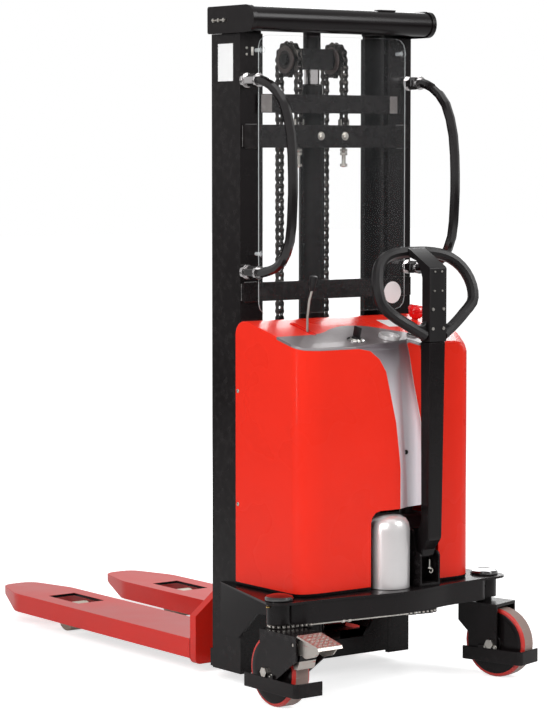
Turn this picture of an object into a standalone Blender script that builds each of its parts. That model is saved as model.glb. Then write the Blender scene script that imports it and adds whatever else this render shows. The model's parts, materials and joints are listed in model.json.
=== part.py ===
# Walkie stacker: two-stage mast, fork-over legs, chain-steered rear wheel, tiller arm.
# Units are metres, +Z up, +Y towards the fork tips, +X to the right of the operator.
# All sizes below are given from the mast: x = 0 is the machine's centre plane and
# y = 0 is the operator-side face of the mast. The whole machine hangs on one empty
# that puts the origin on the floor under the middle of its footprint.

import math

import bmesh
import bpy
from mathutils import Matrix, Vector

for old_object in list(bpy.data.objects):
    bpy.data.objects.remove(old_object, do_unlink=True)

# ---------------------------------------------------------------- driving sizes

footprint_centre = (0.018, 0.4025)     # middle of the footprint, from the mast's centre plane and face
seat_gap = 0.0003              # gap between pieces that touch
running_gap = 0.0012           # gap between pieces that slide

# forks and the legs that they straddle
fork_half_span = 0.2765
fork_width = 0.187
fork_top = 0.090
fork_plate = 0.008
fork_skirt_bottom = 0.0376
fork_skirt_wall = 0.006
fork_tip_y = 1.256
nose_length = 0.145
nose_lip = 0.016
heel_rear_y = 0.200
heel_thickness = 0.026
heel_top = 0.290
heel_bottom = 0.025
heel_shoulder = 0.152
window_y = (0.850, 1.008)
window_width = 0.086
leg_width = 0.076
leg_bottom = 0.034
leg_top = 0.074
roller_radius = 0.040
roller_width = 0.074
roller_y = 0.929

# mast
mast_half_width = 0.278
mast_depth = 0.122
mast_bottom = 0.032
mast_top = 1.655
mast_web = 0.008
mast_flange = 0.012
mast_flange_width = 0.071
upper_beam_z = (mast_top - 0.286, mast_top - 0.228)
lower_beam_z = (0.982, 1.030)
foot_beam_z = (0.040, 0.086)
beam_plate = 0.008
upper_beam_half = mast_half_width - 0.008
lower_beam_half = mast_half_width - 0.004
gusset_inner_x = 0.128

inner_flange = 0.010
inner_half_width = mast_half_width - 0.020
inner_flange_width = 0.058
inner_web = 0.008
flange_taper = 0.0012
inner_bottom = 0.165
inner_beam_z = (mast_top - 0.198, mast_top - 0.151)
inner_beam_half = inner_half_width - 0.036
head_tube_radius = 0.031
head_tube_y = -0.049
head_tube_z = mast_top + 0.034
end_plate_x = (mast_half_width + 0.006, mast_half_width + 0.018)
end_plate_front_y = 0.115
end_plate_rim = 0.0032
mast_roller_radius = 0.0487
carriage_roller_radius = 0.0334
carriage_roller_z = (0.200, 0.375)
lift_travel = 1.2

# lift cylinder, sprockets and chains
cylinder_y = 0.066
barrel_radius = 0.0335
barrel_bore = 0.026
barrel_top = mast_top - 0.150
gland_top = barrel_top + 0.028
rod_radius = 0.020
rod_bottom = 0.230
bar_z = (mast_top - 0.085, mast_top - 0.032)
sprocket_x = 0.074
sprocket_z = bar_z[1] - 0.029
sprocket_width = 0.011
chain_pitch = 0.01905
sprocket_teeth = 13
chain_width = 0.018
chain_depth = 0.016
tooth_height = 0.0055
slot_width = sprocket_width + 2 * running_gap
sprocket_radius = chain_pitch / (2 * math.sin(math.pi / sprocket_teeth))
chain_front_y = cylinder_y + sprocket_radius
chain_rear_y = cylinder_y - sprocket_radius
anchor_shelf_z = (upper_beam_z[0] + 0.003, upper_beam_z[0] + 0.015)
anchor_bolt_drop = 0.053
carriage_anchor_z = 0.330

# base
plate_top = 0.262
plate_thickness = 0.006
skirt_bottom = plate_top - 0.0565
skirt_wall = 0.006
kingpin_x = mast_half_width + 0.056
kingpin_y = -0.238
sleeve_radius = 0.032
sleeve_bottom = skirt_bottom
cap_radius = 0.036
cap_height = 0.014

# cover
cover_half_width = mast_half_width + 0.006
cover_bottom = plate_top + seat_gap
cover_rear_y = 0.014
cover_front_y = -0.262
cover_crest = (-0.029, 0.936)
cover_slope = math.radians(14.1)
cover_wall = 0.004
opening_x = (-0.064, 0.158)
opening_top = 0.460
hood_place = (0.006, -0.247)
hood_radius = 0.053
hood_top = 0.447

# controls on the console: (x, y) on the sloping top, and the radius in the panel
key_place = (-0.079, -0.218)
key_barrel = 0.009
gauge_place = (0.032, -0.212)
gauge_barrel = 0.022
socket_place = (0.116, -0.204)
socket_barrel = 0.010
stop_place = (cover_half_width - 0.056, -0.080)
stop_stem = 0.008
lever_x = 0.118 - cover_half_width
lever_y = -0.131
lever_pin_z = 0.880
lever_pin_radius = 0.005

# tiller
tiller_x = 0.098
tiller_y = -0.280
tiller_pin_y = -0.272
tiller_pin_z = 0.345
tiller_pin_radius = 0.008
tiller_end_radius = 0.013
arm_half_width = 0.0258
arm_y = (-0.326, -0.287)
arm_top = 0.884
head_half_width = 0.0275
head_rear_y = -0.296
head_face_top = 1.070
loop_radius = 0.0145

# wheels
wheel_radius = 0.090
wheel_width = 0.050
hub_radius = 0.066
fork_outer_face = 0.045
side_plate = 0.005
caster_trail = 0.049
caster_yaw = math.radians(16.0)
wheel_fork_top = plate_top - 0.068
kingpin_radius = 0.0205
axle_radius = 0.0083
steering_chain_z = (wheel_fork_top + 0.0006, sleeve_bottom - 0.0009)
steering_chain_depth = 0.010
brake_pin = (-0.350, 0.172)
guard_z = (0.043, 0.078)
guard_bar = 0.005

# screen and grab handles
screen_half = mast_half_width - 0.040
screen_z = (0.948, mast_top - 0.004)
screen_y = (-0.026, -0.022)
screen_screw_x = mast_half_width - 0.0495
screen_screw_z = (mast_top - 0.553, mast_top - 0.042)
handle_x = mast_half_width - 0.016
handle_z = (mast_top - 0.598, mast_top - 0.118)
handle_face_y = -0.060
handle_radius = 0.0125


# ---------------------------------------------------------------- helpers

machine = bpy.data.collections.new("walkie_stacker")
bpy.context.scene.collection.children.link(machine)


def material(name, colour, roughness, metallic=0.0, alpha=1.0):
    made = bpy.data.materials.new(name)
    made.use_nodes = True
    shader = made.node_tree.nodes["Principled BSDF"]
    shader.inputs["Base Color"].default_value = (*colour, 1.0)
    shader.inputs["Roughness"].default_value = roughness
    shader.inputs["Metallic"].default_value = metallic
    shader.inputs["Alpha"].default_value = alpha
    return made


black_paint = material("black_paint", (0.012, 0.010, 0.011), 0.35)
fork_red = material("fork_red", (0.55, 0.03, 0.012), 0.4)
cover_red = material("cover_red", (0.78, 0.025, 0.015), 0.3)
console_grey = material("console_grey", (0.30, 0.29, 0.30), 0.35, 0.6)
hood_silver = material("hood_silver", (0.68, 0.66, 0.66), 0.3, 0.3)
zinc = material("zinc", (0.62, 0.60, 0.56), 0.3, 1.0)
chrome = material("chrome", (0.75, 0.75, 0.77), 0.08, 1.0)
chain_steel = material("chain_steel", (0.06, 0.055, 0.05), 0.4, 0.8)
black_plastic = material("black_plastic", (0.015, 0.014, 0.014), 0.5)
tread_red = material("tread_red", (0.42, 0.035, 0.02), 0.45)
roller_beige = material("roller_beige", (0.62, 0.55, 0.47), 0.5)
clear_acrylic = material("clear_acrylic", (0.9, 0.95, 0.95), 0.05, 0.0, 0.2)
stop_red = material("stop_red", (0.75, 0.01, 0.01), 0.25)
battery_grey = material("battery_grey", (0.10, 0.10, 0.11), 0.5)


def add_object(name, mesh, paint=None):
    made = bpy.data.objects.new(name, mesh)
    machine.objects.link(made)
    if paint:
        made.data.materials.clear()
        made.data.materials.append(paint)
    return made


def clean(mesh):
    work = bmesh.new()
    work.from_mesh(mesh)
    bmesh.ops.remove_doubles(work, verts=work.verts, dist=0.00001)
    bmesh.ops.recalc_face_normals(work, faces=work.faces)
    work.to_mesh(mesh)
    work.free()
    return mesh


def bake(source, name=None):
    # Replaces an object that carries modifiers, or a curve, by its finished mesh.
    bpy.context.view_layer.update()
    graph = bpy.context.evaluated_depsgraph_get()
    mesh = bpy.data.meshes.new_from_object(source.evaluated_get(graph))
    mesh.transform(source.matrix_world)
    clean(mesh)
    made = add_object(name or source.name + "_mesh", mesh)
    bpy.data.objects.remove(source, do_unlink=True)
    return made


def box(x, y, z, name="box"):
    work = bmesh.new()
    bmesh.ops.create_cube(work, size=1.0)
    bmesh.ops.scale(work, verts=work.verts, vec=(x[1] - x[0], y[1] - y[0], z[1] - z[0]))
    bmesh.ops.translate(work, verts=work.verts, vec=((x[0] + x[1]) / 2, (y[0] + y[1]) / 2, (z[0] + z[1]) / 2))
    mesh = bpy.data.meshes.new(name)
    work.to_mesh(mesh)
    work.free()
    return add_object(name, mesh)


axis_turns = {
    "X": Matrix.Rotation(math.radians(90), 4, "Y"),
    "Y": Matrix.Rotation(math.radians(-90), 4, "X"),
    "Z": Matrix.Identity(4),
}


def cylinder(centre, axis, radius, length, sides=24, top_radius=None, name="cylinder"):
    work = bmesh.new()
    bmesh.ops.create_cone(
        work, cap_ends=True, segments=sides, depth=length,
        radius1=radius, radius2=radius if top_radius is None else top_radius,
    )
    bmesh.ops.transform(work, verts=work.verts, matrix=Matrix.Translation(centre) @ axis_turns[axis])
    mesh = bpy.data.meshes.new(name)
    work.to_mesh(mesh)
    work.free()
    return add_object(name, mesh)


def turned(profile, centre, axis, sides=24, closed=False, name="turned"):
    # profile holds (radius, height) pairs, outer side from top to bottom.
    mesh = bpy.data.meshes.new(name)
    count = len(profile)
    edges = [(i, i + 1) for i in range(count - 1)]
    if closed:
        edges.append((count - 1, 0))
    mesh.from_pydata([(r, 0.0, h) for r, h in profile], edges, [])
    made = add_object(name, mesh)
    screw = made.modifiers.new("turn", "SCREW")
    screw.steps = sides
    screw.render_steps = sides
    screw.use_merge_vertices = True
    screw.merge_threshold = 0.00002
    made.matrix_world = Matrix.Translation(centre) @ axis_turns[axis]
    return bake(made, name)


def ring(inner, outer, length, centre, axis, sides=24, name="ring"):
    half = length / 2
    profile = [(outer, half), (outer, -half), (inner, -half), (inner, half)]
    return turned(profile, centre, axis, sides, closed=True, name=name)


plane_frames = {
    "XY": ((1, 0, 0), (0, 1, 0)),
    "XZ": ((1, 0, 0), (0, 0, 1)),
    "YZ": ((0, 1, 0), (0, 0, 1)),
}


def rounded(corners, steps=3):
    # corners are (u, v) or (u, v, radius); a radius turns a corner into an arc.
    points = []
    count = len(corners)
    for index, corner in enumerate(corners):
        here = Vector(corner[:2])
        radius = corner[2] if len(corner) > 2 else 0.0
        if radius <= 0:
            points.append(here)
            continue
        back = (Vector(corners[index - 1][:2]) - here).normalized()
        ahead = (Vector(corners[(index + 1) % count][:2]) - here).normalized()
        half_angle = back.angle(ahead) / 2
        reach = radius / math.tan(half_angle)
        centre = here + (back + ahead).normalized() * (radius / math.sin(half_angle))
        start = here + back * reach - centre
        sweep = start.angle_signed(here + ahead * reach - centre)
        for step in range(steps + 1):
            turn = Matrix.Rotation(-sweep * step / steps, 2)
            points.append(centre + turn @ start)
    return points


def plate(outline, plane, low, high, holes=(), name="plate"):
    # A flat outline, with holes, given a thickness from low to high along its normal.
    curve = bpy.data.curves.new(name, "CURVE")
    curve.dimensions = "2D"
    curve.fill_mode = "BOTH"
    curve.extrude = (high - low) / 2
    for loop in [outline, *holes]:
        spline = curve.splines.new("POLY")
        spline.points.add(len(loop) - 1)
        for point, place in zip(spline.points, loop):
            point.co = (place[0], place[1], 0.0, 1.0)
        spline.use_cyclic_u = True
    made = add_object(name, curve)
    u, v = (Vector(direction) for direction in plane_frames[plane])
    normal = u.cross(v)
    middle = (low + high) / 2 * (-1 if plane == "XZ" else 1)
    frame = Matrix((u, v, normal)).transposed().to_4x4()
    made.matrix_world = Matrix.Translation(normal * middle) @ frame
    return bake(made, name)


def circle(centre, radius, sides=24):
    return [
        (centre[0] + radius * math.cos(2 * math.pi * i / sides), centre[1] + radius * math.sin(2 * math.pi * i / sides))
        for i in range(sides)
    ]


def smooth_path(points, steps=6):
    # Catmull-Rom points through the given ones.
    path = [Vector(p) for p in points]
    ends = [path[0] * 2 - path[1], *path, path[-1] * 2 - path[-2]]
    out = []
    for i in range(1, len(ends) - 2):
        a, b, c, d = ends[i - 1:i + 3]
        for step in range(steps):
            t = step / steps
            out.append(0.5 * (2 * b + (c - a) * t + (2 * a - 5 * b + 4 * c - d) * t * t
                              + (3 * b - a - 3 * c + d) * t ** 3))
    out.append(path[-1])
    return out


def tube(points, radius, resolution=3, name="tube", cyclic=False):
    curve = bpy.data.curves.new(name, "CURVE")
    curve.dimensions = "3D"
    curve.bevel_depth = radius
    curve.bevel_resolution = resolution
    curve.use_fill_caps = True
    spline = curve.splines.new("POLY")
    spline.points.add(len(points) - 1)
    for point, place in zip(spline.points, points):
        point.co = (*place, 1.0)
    spline.use_cyclic_u = cyclic
    return bake(add_object(name, curve), name)


def boolean(target, others, operation):
    for other in others:
        cut = target.modifiers.new(operation.lower(), "BOOLEAN")
        cut.operation = operation
        cut.object = other
    made = bake(target, target.name)
    for other in others:
        bpy.data.objects.remove(other, do_unlink=True)
    return made


def fuse(*pieces):
    return boolean(pieces[0], list(pieces[1:]), "UNION")


def carve(target, *cutters):
    return boolean(target, list(cutters), "DIFFERENCE")


def common(target, *others):
    return boolean(target, list(others), "INTERSECT")


def mirrored(source, name="mirror"):
    mesh = source.data.copy()
    mesh.transform(Matrix.Scale(-1, 4, (1, 0, 0)))
    clean(mesh)
    return add_object(name, mesh)


def rounded_edges(source, width, segments=2, angle=30):
    bevel = source.modifiers.new("edges", "BEVEL")
    bevel.width = width
    bevel.segments = segments
    bevel.limit_method = "ANGLE"
    bevel.angle_limit = math.radians(angle)
    return bake(source, source.name)


# ---------------------------------------------------------------- empties on the joint axes

root = bpy.data.objects.new("walkie_stacker_origin", None)
machine.objects.link(root)
root.location = (-footprint_centre[0], -footprint_centre[1], 0)


def pivot(name, place, parent=root):
    made = bpy.data.objects.new(name, None)
    machine.objects.link(made)
    made.parent = parent
    origin = Vector(place)
    made.location = origin - Vector(parent.get("place", (0, 0, 0)))
    made["place"] = tuple(origin)
    made.empty_display_size = 0.03
    return made


def settle(source, name, paint, parent=root):
    # Names a finished piece, paints it and hangs it on its parent's axis.
    source.name = name
    source.data.name = name
    source.data.materials.clear()
    source.data.materials.append(paint)
    source.data.transform(Matrix.Translation(-Vector(parent.get("place", (0, 0, 0)))))
    source.parent = parent
    source.data.shade_smooth()
    source.data.set_sharp_from_angle(angle=math.radians(35))
    return source


def sided(name, side):
    return name + ("_right" if side > 0 else "_left")


mast_slide = pivot("inner_mast_slide", (0, cylinder_y, inner_bottom))
carriage_slide = pivot("carriage_slide", (0, mast_depth, heel_top), mast_slide)
tiller_swivel = pivot("tiller_swivel_axis", (tiller_x, tiller_y, plate_top))
tiller_tilt = pivot("tiller_tilt_axis", (tiller_x, tiller_pin_y, tiller_pin_z), tiller_swivel)
steer_axis = pivot("steer_axis", (-kingpin_x, kingpin_y, plate_top))
caster_axis = pivot("caster_axis", (kingpin_x, kingpin_y, plate_top))


# ---------------------------------------------------------------- outer mast

def mast_channel(side):
    outer = mast_half_width
    inner = outer - mast_flange_width
    section = [
        (outer, 0), (outer, mast_depth), (inner, mast_depth), (inner, mast_depth - mast_flange),
        (outer - mast_web, mast_depth - mast_flange), (outer - mast_web, mast_flange),
        (inner, mast_flange), (inner, 0),
    ]
    return plate([(side * x, y) for x, y in section], "XY", mast_bottom, mast_top, name="mast_channel")


def build_outer_mast():
    pieces = [mast_channel(-1), mast_channel(1)]
    for half, (low, high) in ((upper_beam_half, upper_beam_z), (lower_beam_half, lower_beam_z)):
        pieces.append(box((-half, half), (-beam_plate, 0.002), (low, high)))
    pieces.append(box((-gusset_inner_x - 0.004, gusset_inner_x + 0.004), (0.002, 0.008), foot_beam_z))
    floor_low = 0.046
    pieces.append(box((-mast_half_width + 0.004, mast_half_width - 0.004), (0.004, mast_depth - 0.004),
                      (floor_low, floor_low + 0.012)))
    for side in (-1, 1):
        inner = mast_half_width - mast_flange_width
        gusset = [(side * (inner + 0.02), foot_beam_z[0]), (side * gusset_inner_x, foot_beam_z[0]),
                  (side * gusset_inner_x, foot_beam_z[1]), (side * (inner - 0.035), 0.150),
                  (side * (inner + 0.02), 0.200)]
        pieces.append(plate(gusset, "XZ", 0.001, 0.009))
        tab_x = sorted((side * (sprocket_x - 0.022), side * (sprocket_x + 0.022)))
        pieces.append(box(tab_x, (-0.004, 0.045), anchor_shelf_z))
    pieces.append(box((-0.022, 0.022), (-0.004, cylinder_y - barrel_radius - seat_gap),
                      (upper_beam_z[0] + 0.007, upper_beam_z[1] - 0.007)))
    mast = fuse(*pieces)
    holes = []
    for side in (-1, 1):
        holes.append(cylinder((side * sprocket_x, chain_rear_y, anchor_shelf_z[0]), "Z", 0.0065, 0.04, 16))
    return settle(carve(mast, *holes), "outer_mast", black_paint)


build_outer_mast()


# ---------------------------------------------------------------- lift cylinder

barrel_bottom = 0.058 + seat_gap
def barrel_profile():
    return [
        (0, barrel_bottom + 0.012), (barrel_bore, barrel_bottom + 0.012), (barrel_bore, barrel_top),
        (barrel_radius, barrel_top), (barrel_radius, barrel_bottom), (0, barrel_bottom),
    ]


settle(turned(barrel_profile(), (0, cylinder_y, 0), "Z", 32, name="barrel"), "lift_cylinder_barrel", black_paint)

gland = turned(
    [(0.024, gland_top), (0.028, gland_top - 0.004), (0.028, barrel_top + seat_gap),
     (rod_radius + seat_gap, barrel_top + seat_gap), (rod_radius + seat_gap, gland_top)],
    (0, cylinder_y, 0), "Z", 32, closed=True, name="gland")
settle(gland, "cylinder_gland", black_paint)

rod = fuse(
    cylinder((0, cylinder_y, (rod_bottom + bar_z[0] - seat_gap) / 2), "Z", rod_radius,
             bar_z[0] - seat_gap - rod_bottom, 24),
    cylinder((0, cylinder_y, rod_bottom + 0.015), "Z", barrel_bore - running_gap, 0.03, 24))
settle(rod, "piston_rod", chrome, mast_slide)


# ---------------------------------------------------------------- inner mast

inner_rear_y = mast_flange + 0.004
inner_front_y = mast_depth - mast_flange - 0.004
mast_middle_y = mast_depth / 2
mast_roller_x = inner_half_width - inner_flange_width / 2 + 0.019
mast_roller_z = 0.1145
head_cap_z = (mast_top + 0.007, mast_top + 0.019)
head_bar_z = (mast_top + 0.039, mast_top + 0.051)


def inner_beam(side):
    outer = inner_half_width
    inner = outer - inner_flange_width
    middle = (outer + inner) / 2
    web = (middle - inner_web / 2, middle + inner_web / 2)
    rear_toe = inner_rear_y + inner_flange
    front_toe = inner_front_y - inner_flange
    rear_root = rear_toe + flange_taper
    front_root = front_toe - flange_taper
    section = [
        (outer, inner_rear_y), (outer, rear_toe), (web[1], rear_root), (web[1], front_root),
        (outer, front_toe), (outer, inner_front_y), (inner, inner_front_y), (inner, front_toe),
        (web[0], front_root), (web[0], rear_root), (inner, rear_toe), (inner, inner_rear_y),
    ]
    return plate([(side * x, y) for x, y in section], "XY", inner_bottom, head_cap_z[1] - 0.002)


def end_plate(side):
    rim = head_tube_radius + end_plate_rim
    top = head_tube_z + rim
    low = head_tube_z - rim
    outline = rounded([
        (end_plate_front_y, top, 0.006), (head_tube_y - rim, top, rim - 0.001),
        (head_tube_y - rim, low, rim - 0.001), (end_plate_front_y, low, 0.006),
    ], 6)
    x = sorted((side * end_plate_x[0], side * end_plate_x[1]))
    return plate(outline, "YZ", x[0], x[1])


def build_inner_mast():
    inner_face = inner_half_width - inner_flange_width
    pieces = []
    for side in (-1, 1):
        pieces.append(inner_beam(side))
        pieces.append(end_plate(side))
        cap_x = sorted((side * (inner_face + 0.001), side * (end_plate_x[0] + 0.002)))
        pieces.append(box(cap_x, (-0.040, end_plate_front_y - 0.004), head_cap_z))
        lug_x = sorted((side * (inner_face - 0.014), side * (inner_face + 0.004)))
        lug_z = (inner_beam_z[0] + 0.002, inner_beam_z[1] - 0.002)
        pieces.append(box(lug_x, (-0.006, inner_rear_y + 0.006), lug_z))
        riser_x = sorted((side * (inner_face + 0.002), side * (inner_face + 0.012)))
        pieces.append(box(riser_x, (0.044, 0.088), (head_cap_z[1] - 0.002, head_bar_z[0] + 0.002)))
        stub_x = sorted((side * (mast_roller_x - 0.026), side * (mast_roller_x - 0.016)))
        pieces.append(box(stub_x, (mast_middle_y - 0.030, mast_middle_y + 0.030), (0.080, inner_bottom + 0.010)))
        pieces.append(cylinder((side * (mast_roller_x - 0.008), mast_middle_y, mast_roller_z), "X", 0.012, 0.034, 20))
    pieces.append(box((-inner_beam_half, inner_beam_half), (-0.013, -0.003), inner_beam_z))
    pieces.append(box((-inner_face - 0.014, inner_face + 0.014), (0.045, 0.087), head_bar_z))
    pieces.append(cylinder((0, head_tube_y, head_tube_z), "X", head_tube_radius,
                           2 * end_plate_x[0] + 0.006, 36))
    return settle(fuse(*pieces), "inner_mast", black_paint, mast_slide)


build_inner_mast()

pin_top = head_bar_z[0] - seat_gap
bar = fuse(
    box((-0.052, 0.052), (cylinder_y - 0.024, cylinder_y + 0.024), bar_z),
    cylinder((0, cylinder_y, (bar_z[1] + pin_top) / 2 - 0.001), "Z", 0.023, pin_top - bar_z[1] + 0.002, 24),
    cylinder((0, cylinder_y, sprocket_z), "X", 0.014, 2 * sprocket_x + 0.036, 24),
)
settle(bar, "sprocket_bar", black_paint, mast_slide)



def sprocket_outline():
    points = []
    for tooth in range(sprocket_teeth):
        for part, radius in ((0.0, -0.0045), (0.38, tooth_height), (0.62, tooth_height)):
            angle = 2 * math.pi * (tooth + part) / sprocket_teeth
            points.append(((sprocket_radius + radius) * math.cos(angle), (sprocket_radius + radius) * math.sin(angle)))
    return points


def build_sprocket(side):
    axle = (side * sprocket_x, cylinder_y, sprocket_z)
    centre_line = [(cylinder_y + u, sprocket_z + v) for u, v in sprocket_outline()]
    bore = circle((cylinder_y, sprocket_z), 0.014 + running_gap, 24)
    x = (side * sprocket_x - sprocket_width / 2, side * sprocket_x + sprocket_width / 2)
    toothed = plate(centre_line, "YZ", x[0], x[1], [bore])
    hub = ring(0.014 + running_gap, 0.024, 0.026, axle, "X", 24)
    axis = pivot(sided("sprocket_axis", side), axle, mast_slide)
    settle(fuse(toothed, hub), sided("sprocket", side), chain_steel, axis)


for side in (-1, 1):
    build_sprocket(side)




def strand(side, y, low, high, name, parent):
    x = side * sprocket_x
    half_x = chain_width / 2
    half_y = chain_depth / 2
    band = box((x - half_x, x + half_x), (y - half_y, y + half_y), (low, high))
    tooth_slot = box((x - slot_width / 2, x + slot_width / 2), (y - chain_depth, y + chain_depth),
                     (high - sprocket_radius * 0.8, high + 0.01))
    settle(carve(band, tooth_slot), name, chain_steel, parent)


def arc_band(inner, outer, low, high, steps=14):
    turns = [math.pi * i / steps for i in range(steps + 1)]
    path = [(outer, turn) for turn in turns] + [(inner, turn) for turn in reversed(turns)]
    return plate([(cylinder_y + r * math.cos(a), sprocket_z + r * math.sin(a)) for r, a in path], "YZ", low, high)


for side in (-1, 1):
    x = side * sprocket_x
    front_y = chain_front_y
    rear_y = chain_rear_y
    strand_top = sprocket_z - seat_gap
    strand(side, front_y, carriage_anchor_z + 0.030, strand_top, sided("carriage_chain", side), carriage_slide)
    strand(side, rear_y, anchor_shelf_z[1] + 0.035, strand_top, sided("anchor_chain", side), mast_slide)
    half_y = chain_depth / 2
    wrap = arc_band(sprocket_radius - half_y, sprocket_radius + half_y, x - chain_width / 2, x + chain_width / 2)
    groove = ring(sprocket_radius * 0.4, sprocket_radius + tooth_height + 0.0008, slot_width,
                  (x, cylinder_y, sprocket_z), "X", 40)
    settle(carve(wrap, groove), sided("chain_wrap", side), chain_steel, mast_slide)
    eye_top = anchor_shelf_z[1] + 0.035 - seat_gap
    anchor = fuse(
        cylinder((x, rear_y, anchor_shelf_z[0] - anchor_bolt_drop / 2 + 0.008), "Z", 0.0055,
                 anchor_bolt_drop + 0.016, 12),
        cylinder((x, rear_y, anchor_shelf_z[1] + 0.006 + seat_gap), "Z", 0.010, 0.012, 6),
        box((x - 0.007, x + 0.007), (rear_y - 0.006, rear_y + 0.006), (anchor_shelf_z[1] + 0.004, eye_top)),
        cylinder((x, rear_y, anchor_shelf_z[0] - 0.040), "Z", 0.010, 0.018, 6),
    )
    settle(anchor, sided("chain_anchor", side), zinc)


# ---------------------------------------------------------------- straddle legs and load rollers

def build_leg(side):
    centre = side * (fork_half_span - fork_width / 2 - 0.003)
    half = leg_width / 2
    cheek_y = (roller_y - 0.075, roller_y + 0.052)
    body = box((centre - half, centre + half), (mast_depth + 0.002, cheek_y[0] + 0.012), (leg_bottom, leg_top))
    foot_x = sorted((side * (abs(centre) - half), side * (mast_half_width - 0.003)))
    foot = box(foot_x, (mast_depth + seat_gap, mast_depth + 0.014), (leg_bottom, leg_top + 0.006))
    pieces = [body, foot]
    for face in (-1, 1):
        inner = roller_width / 2 + 0.002
        cheek_x = sorted((centre + face * inner, centre + face * (inner + 0.008)))
        outline = rounded([(cheek_y[0] - 0.03, leg_bottom), (cheek_y[1], leg_bottom - 0.004, 0.02),
                           (cheek_y[1], leg_top, 0.02), (cheek_y[0] - 0.03, leg_top)])
        pieces.append(plate(outline, "YZ", cheek_x[0], cheek_x[1]))
        bridge_x = sorted((centre + face * (half - 0.006), centre + face * (inner + 0.004)))
        pieces.append(box(bridge_x, (cheek_y[0] - 0.028, cheek_y[0] + 0.010), (leg_bottom + 0.002, leg_top - 0.002)))
    pieces.append(cylinder((centre, roller_y, roller_radius), "X", 0.0092, roller_width + 0.021, 20))
    settle(fuse(*pieces), sided("support_leg", side), black_paint)
    axis = pivot(sided("load_roller_axis", side), (centre, roller_y, roller_radius))
    roller = ring(0.0092 + seat_gap, roller_radius, roller_width, (centre, roller_y, roller_radius), "X", 28)
    settle(rounded_edges(roller, 0.003, 1, 50), sided("load_roller", side), roller_beige, axis)


for side in (-1, 1):
    build_leg(side)


# ---------------------------------------------------------------- fork carriage and forks

def build_carriage():
    pieces = []
    plate_x = (inner_half_width - inner_flange_width - 0.020, inner_half_width - inner_flange_width - 0.005)
    rear = inner_rear_y + inner_flange + 0.003
    for side in (-1, 1):
        x = sorted((side * plate_x[0], side * plate_x[1]))
        outline = rounded([(rear, 0.095, 0.01), (heel_rear_y - seat_gap, 0.095), (heel_rear_y - seat_gap, heel_top),
                           (0.150, 0.420, 0.02), (rear, 0.420, 0.02)])
        pieces.append(plate(outline, "YZ", x[0], x[1]))
        for z in carriage_roller_z:
            stub_x = sorted((side * plate_x[0], side * (plate_x[1] + 0.026)))
            pieces.append(cylinder(((stub_x[0] + stub_x[1]) / 2, mast_middle_y, z), "X", 0.011,
                                   stub_x[1] - stub_x[0], 20))
    for low, high in ((0.100, 0.160), (0.235, heel_top)):
        pieces.append(box((-plate_x[0] - 0.004, plate_x[0] + 0.004), (0.150, heel_rear_y - seat_gap), (low, high)))
    upper = (carriage_anchor_z - 0.012, carriage_anchor_z)
    pieces.append(box((-plate_x[0] - 0.004, plate_x[0] + 0.004), (0.118, 0.150), (upper[0] - 0.02, upper[1])))
    for side in (-1, 1):
        x = sorted((side * (sprocket_x - 0.016), side * (sprocket_x + 0.016)))
        pieces.append(box(x, (chain_front_y - 0.014, 0.120), upper))
        eye = side * sprocket_x
        pieces.append(cylinder((eye, chain_front_y, carriage_anchor_z - 0.012), "Z", 0.0055, 0.060, 12))
        pieces.append(cylinder((eye, chain_front_y, carriage_anchor_z - 0.022), "Z", 0.0095, 0.024, 6))
        pieces.append(box((eye - 0.007, eye + 0.007), (chain_front_y - 0.006, chain_front_y + 0.006),
                          (carriage_anchor_z - 0.004, carriage_anchor_z + 0.030 - seat_gap)))
    settle(fuse(*pieces), "fork_carriage", black_paint, carriage_slide)
    for side in (-1, 1):
        for row, z in zip(("lower", "upper"), carriage_roller_z):
            centre = (side * (plate_x[1] + 0.0145), mast_middle_y, z)
            axis = pivot(sided(row + "_carriage_roller_axis", side), centre, carriage_slide)
            roller = ring(0.011 + running_gap, carriage_roller_radius, 0.022, centre, "X", 32)
            settle(roller, sided(row + "_carriage_roller", side), zinc, axis)


build_carriage()


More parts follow.
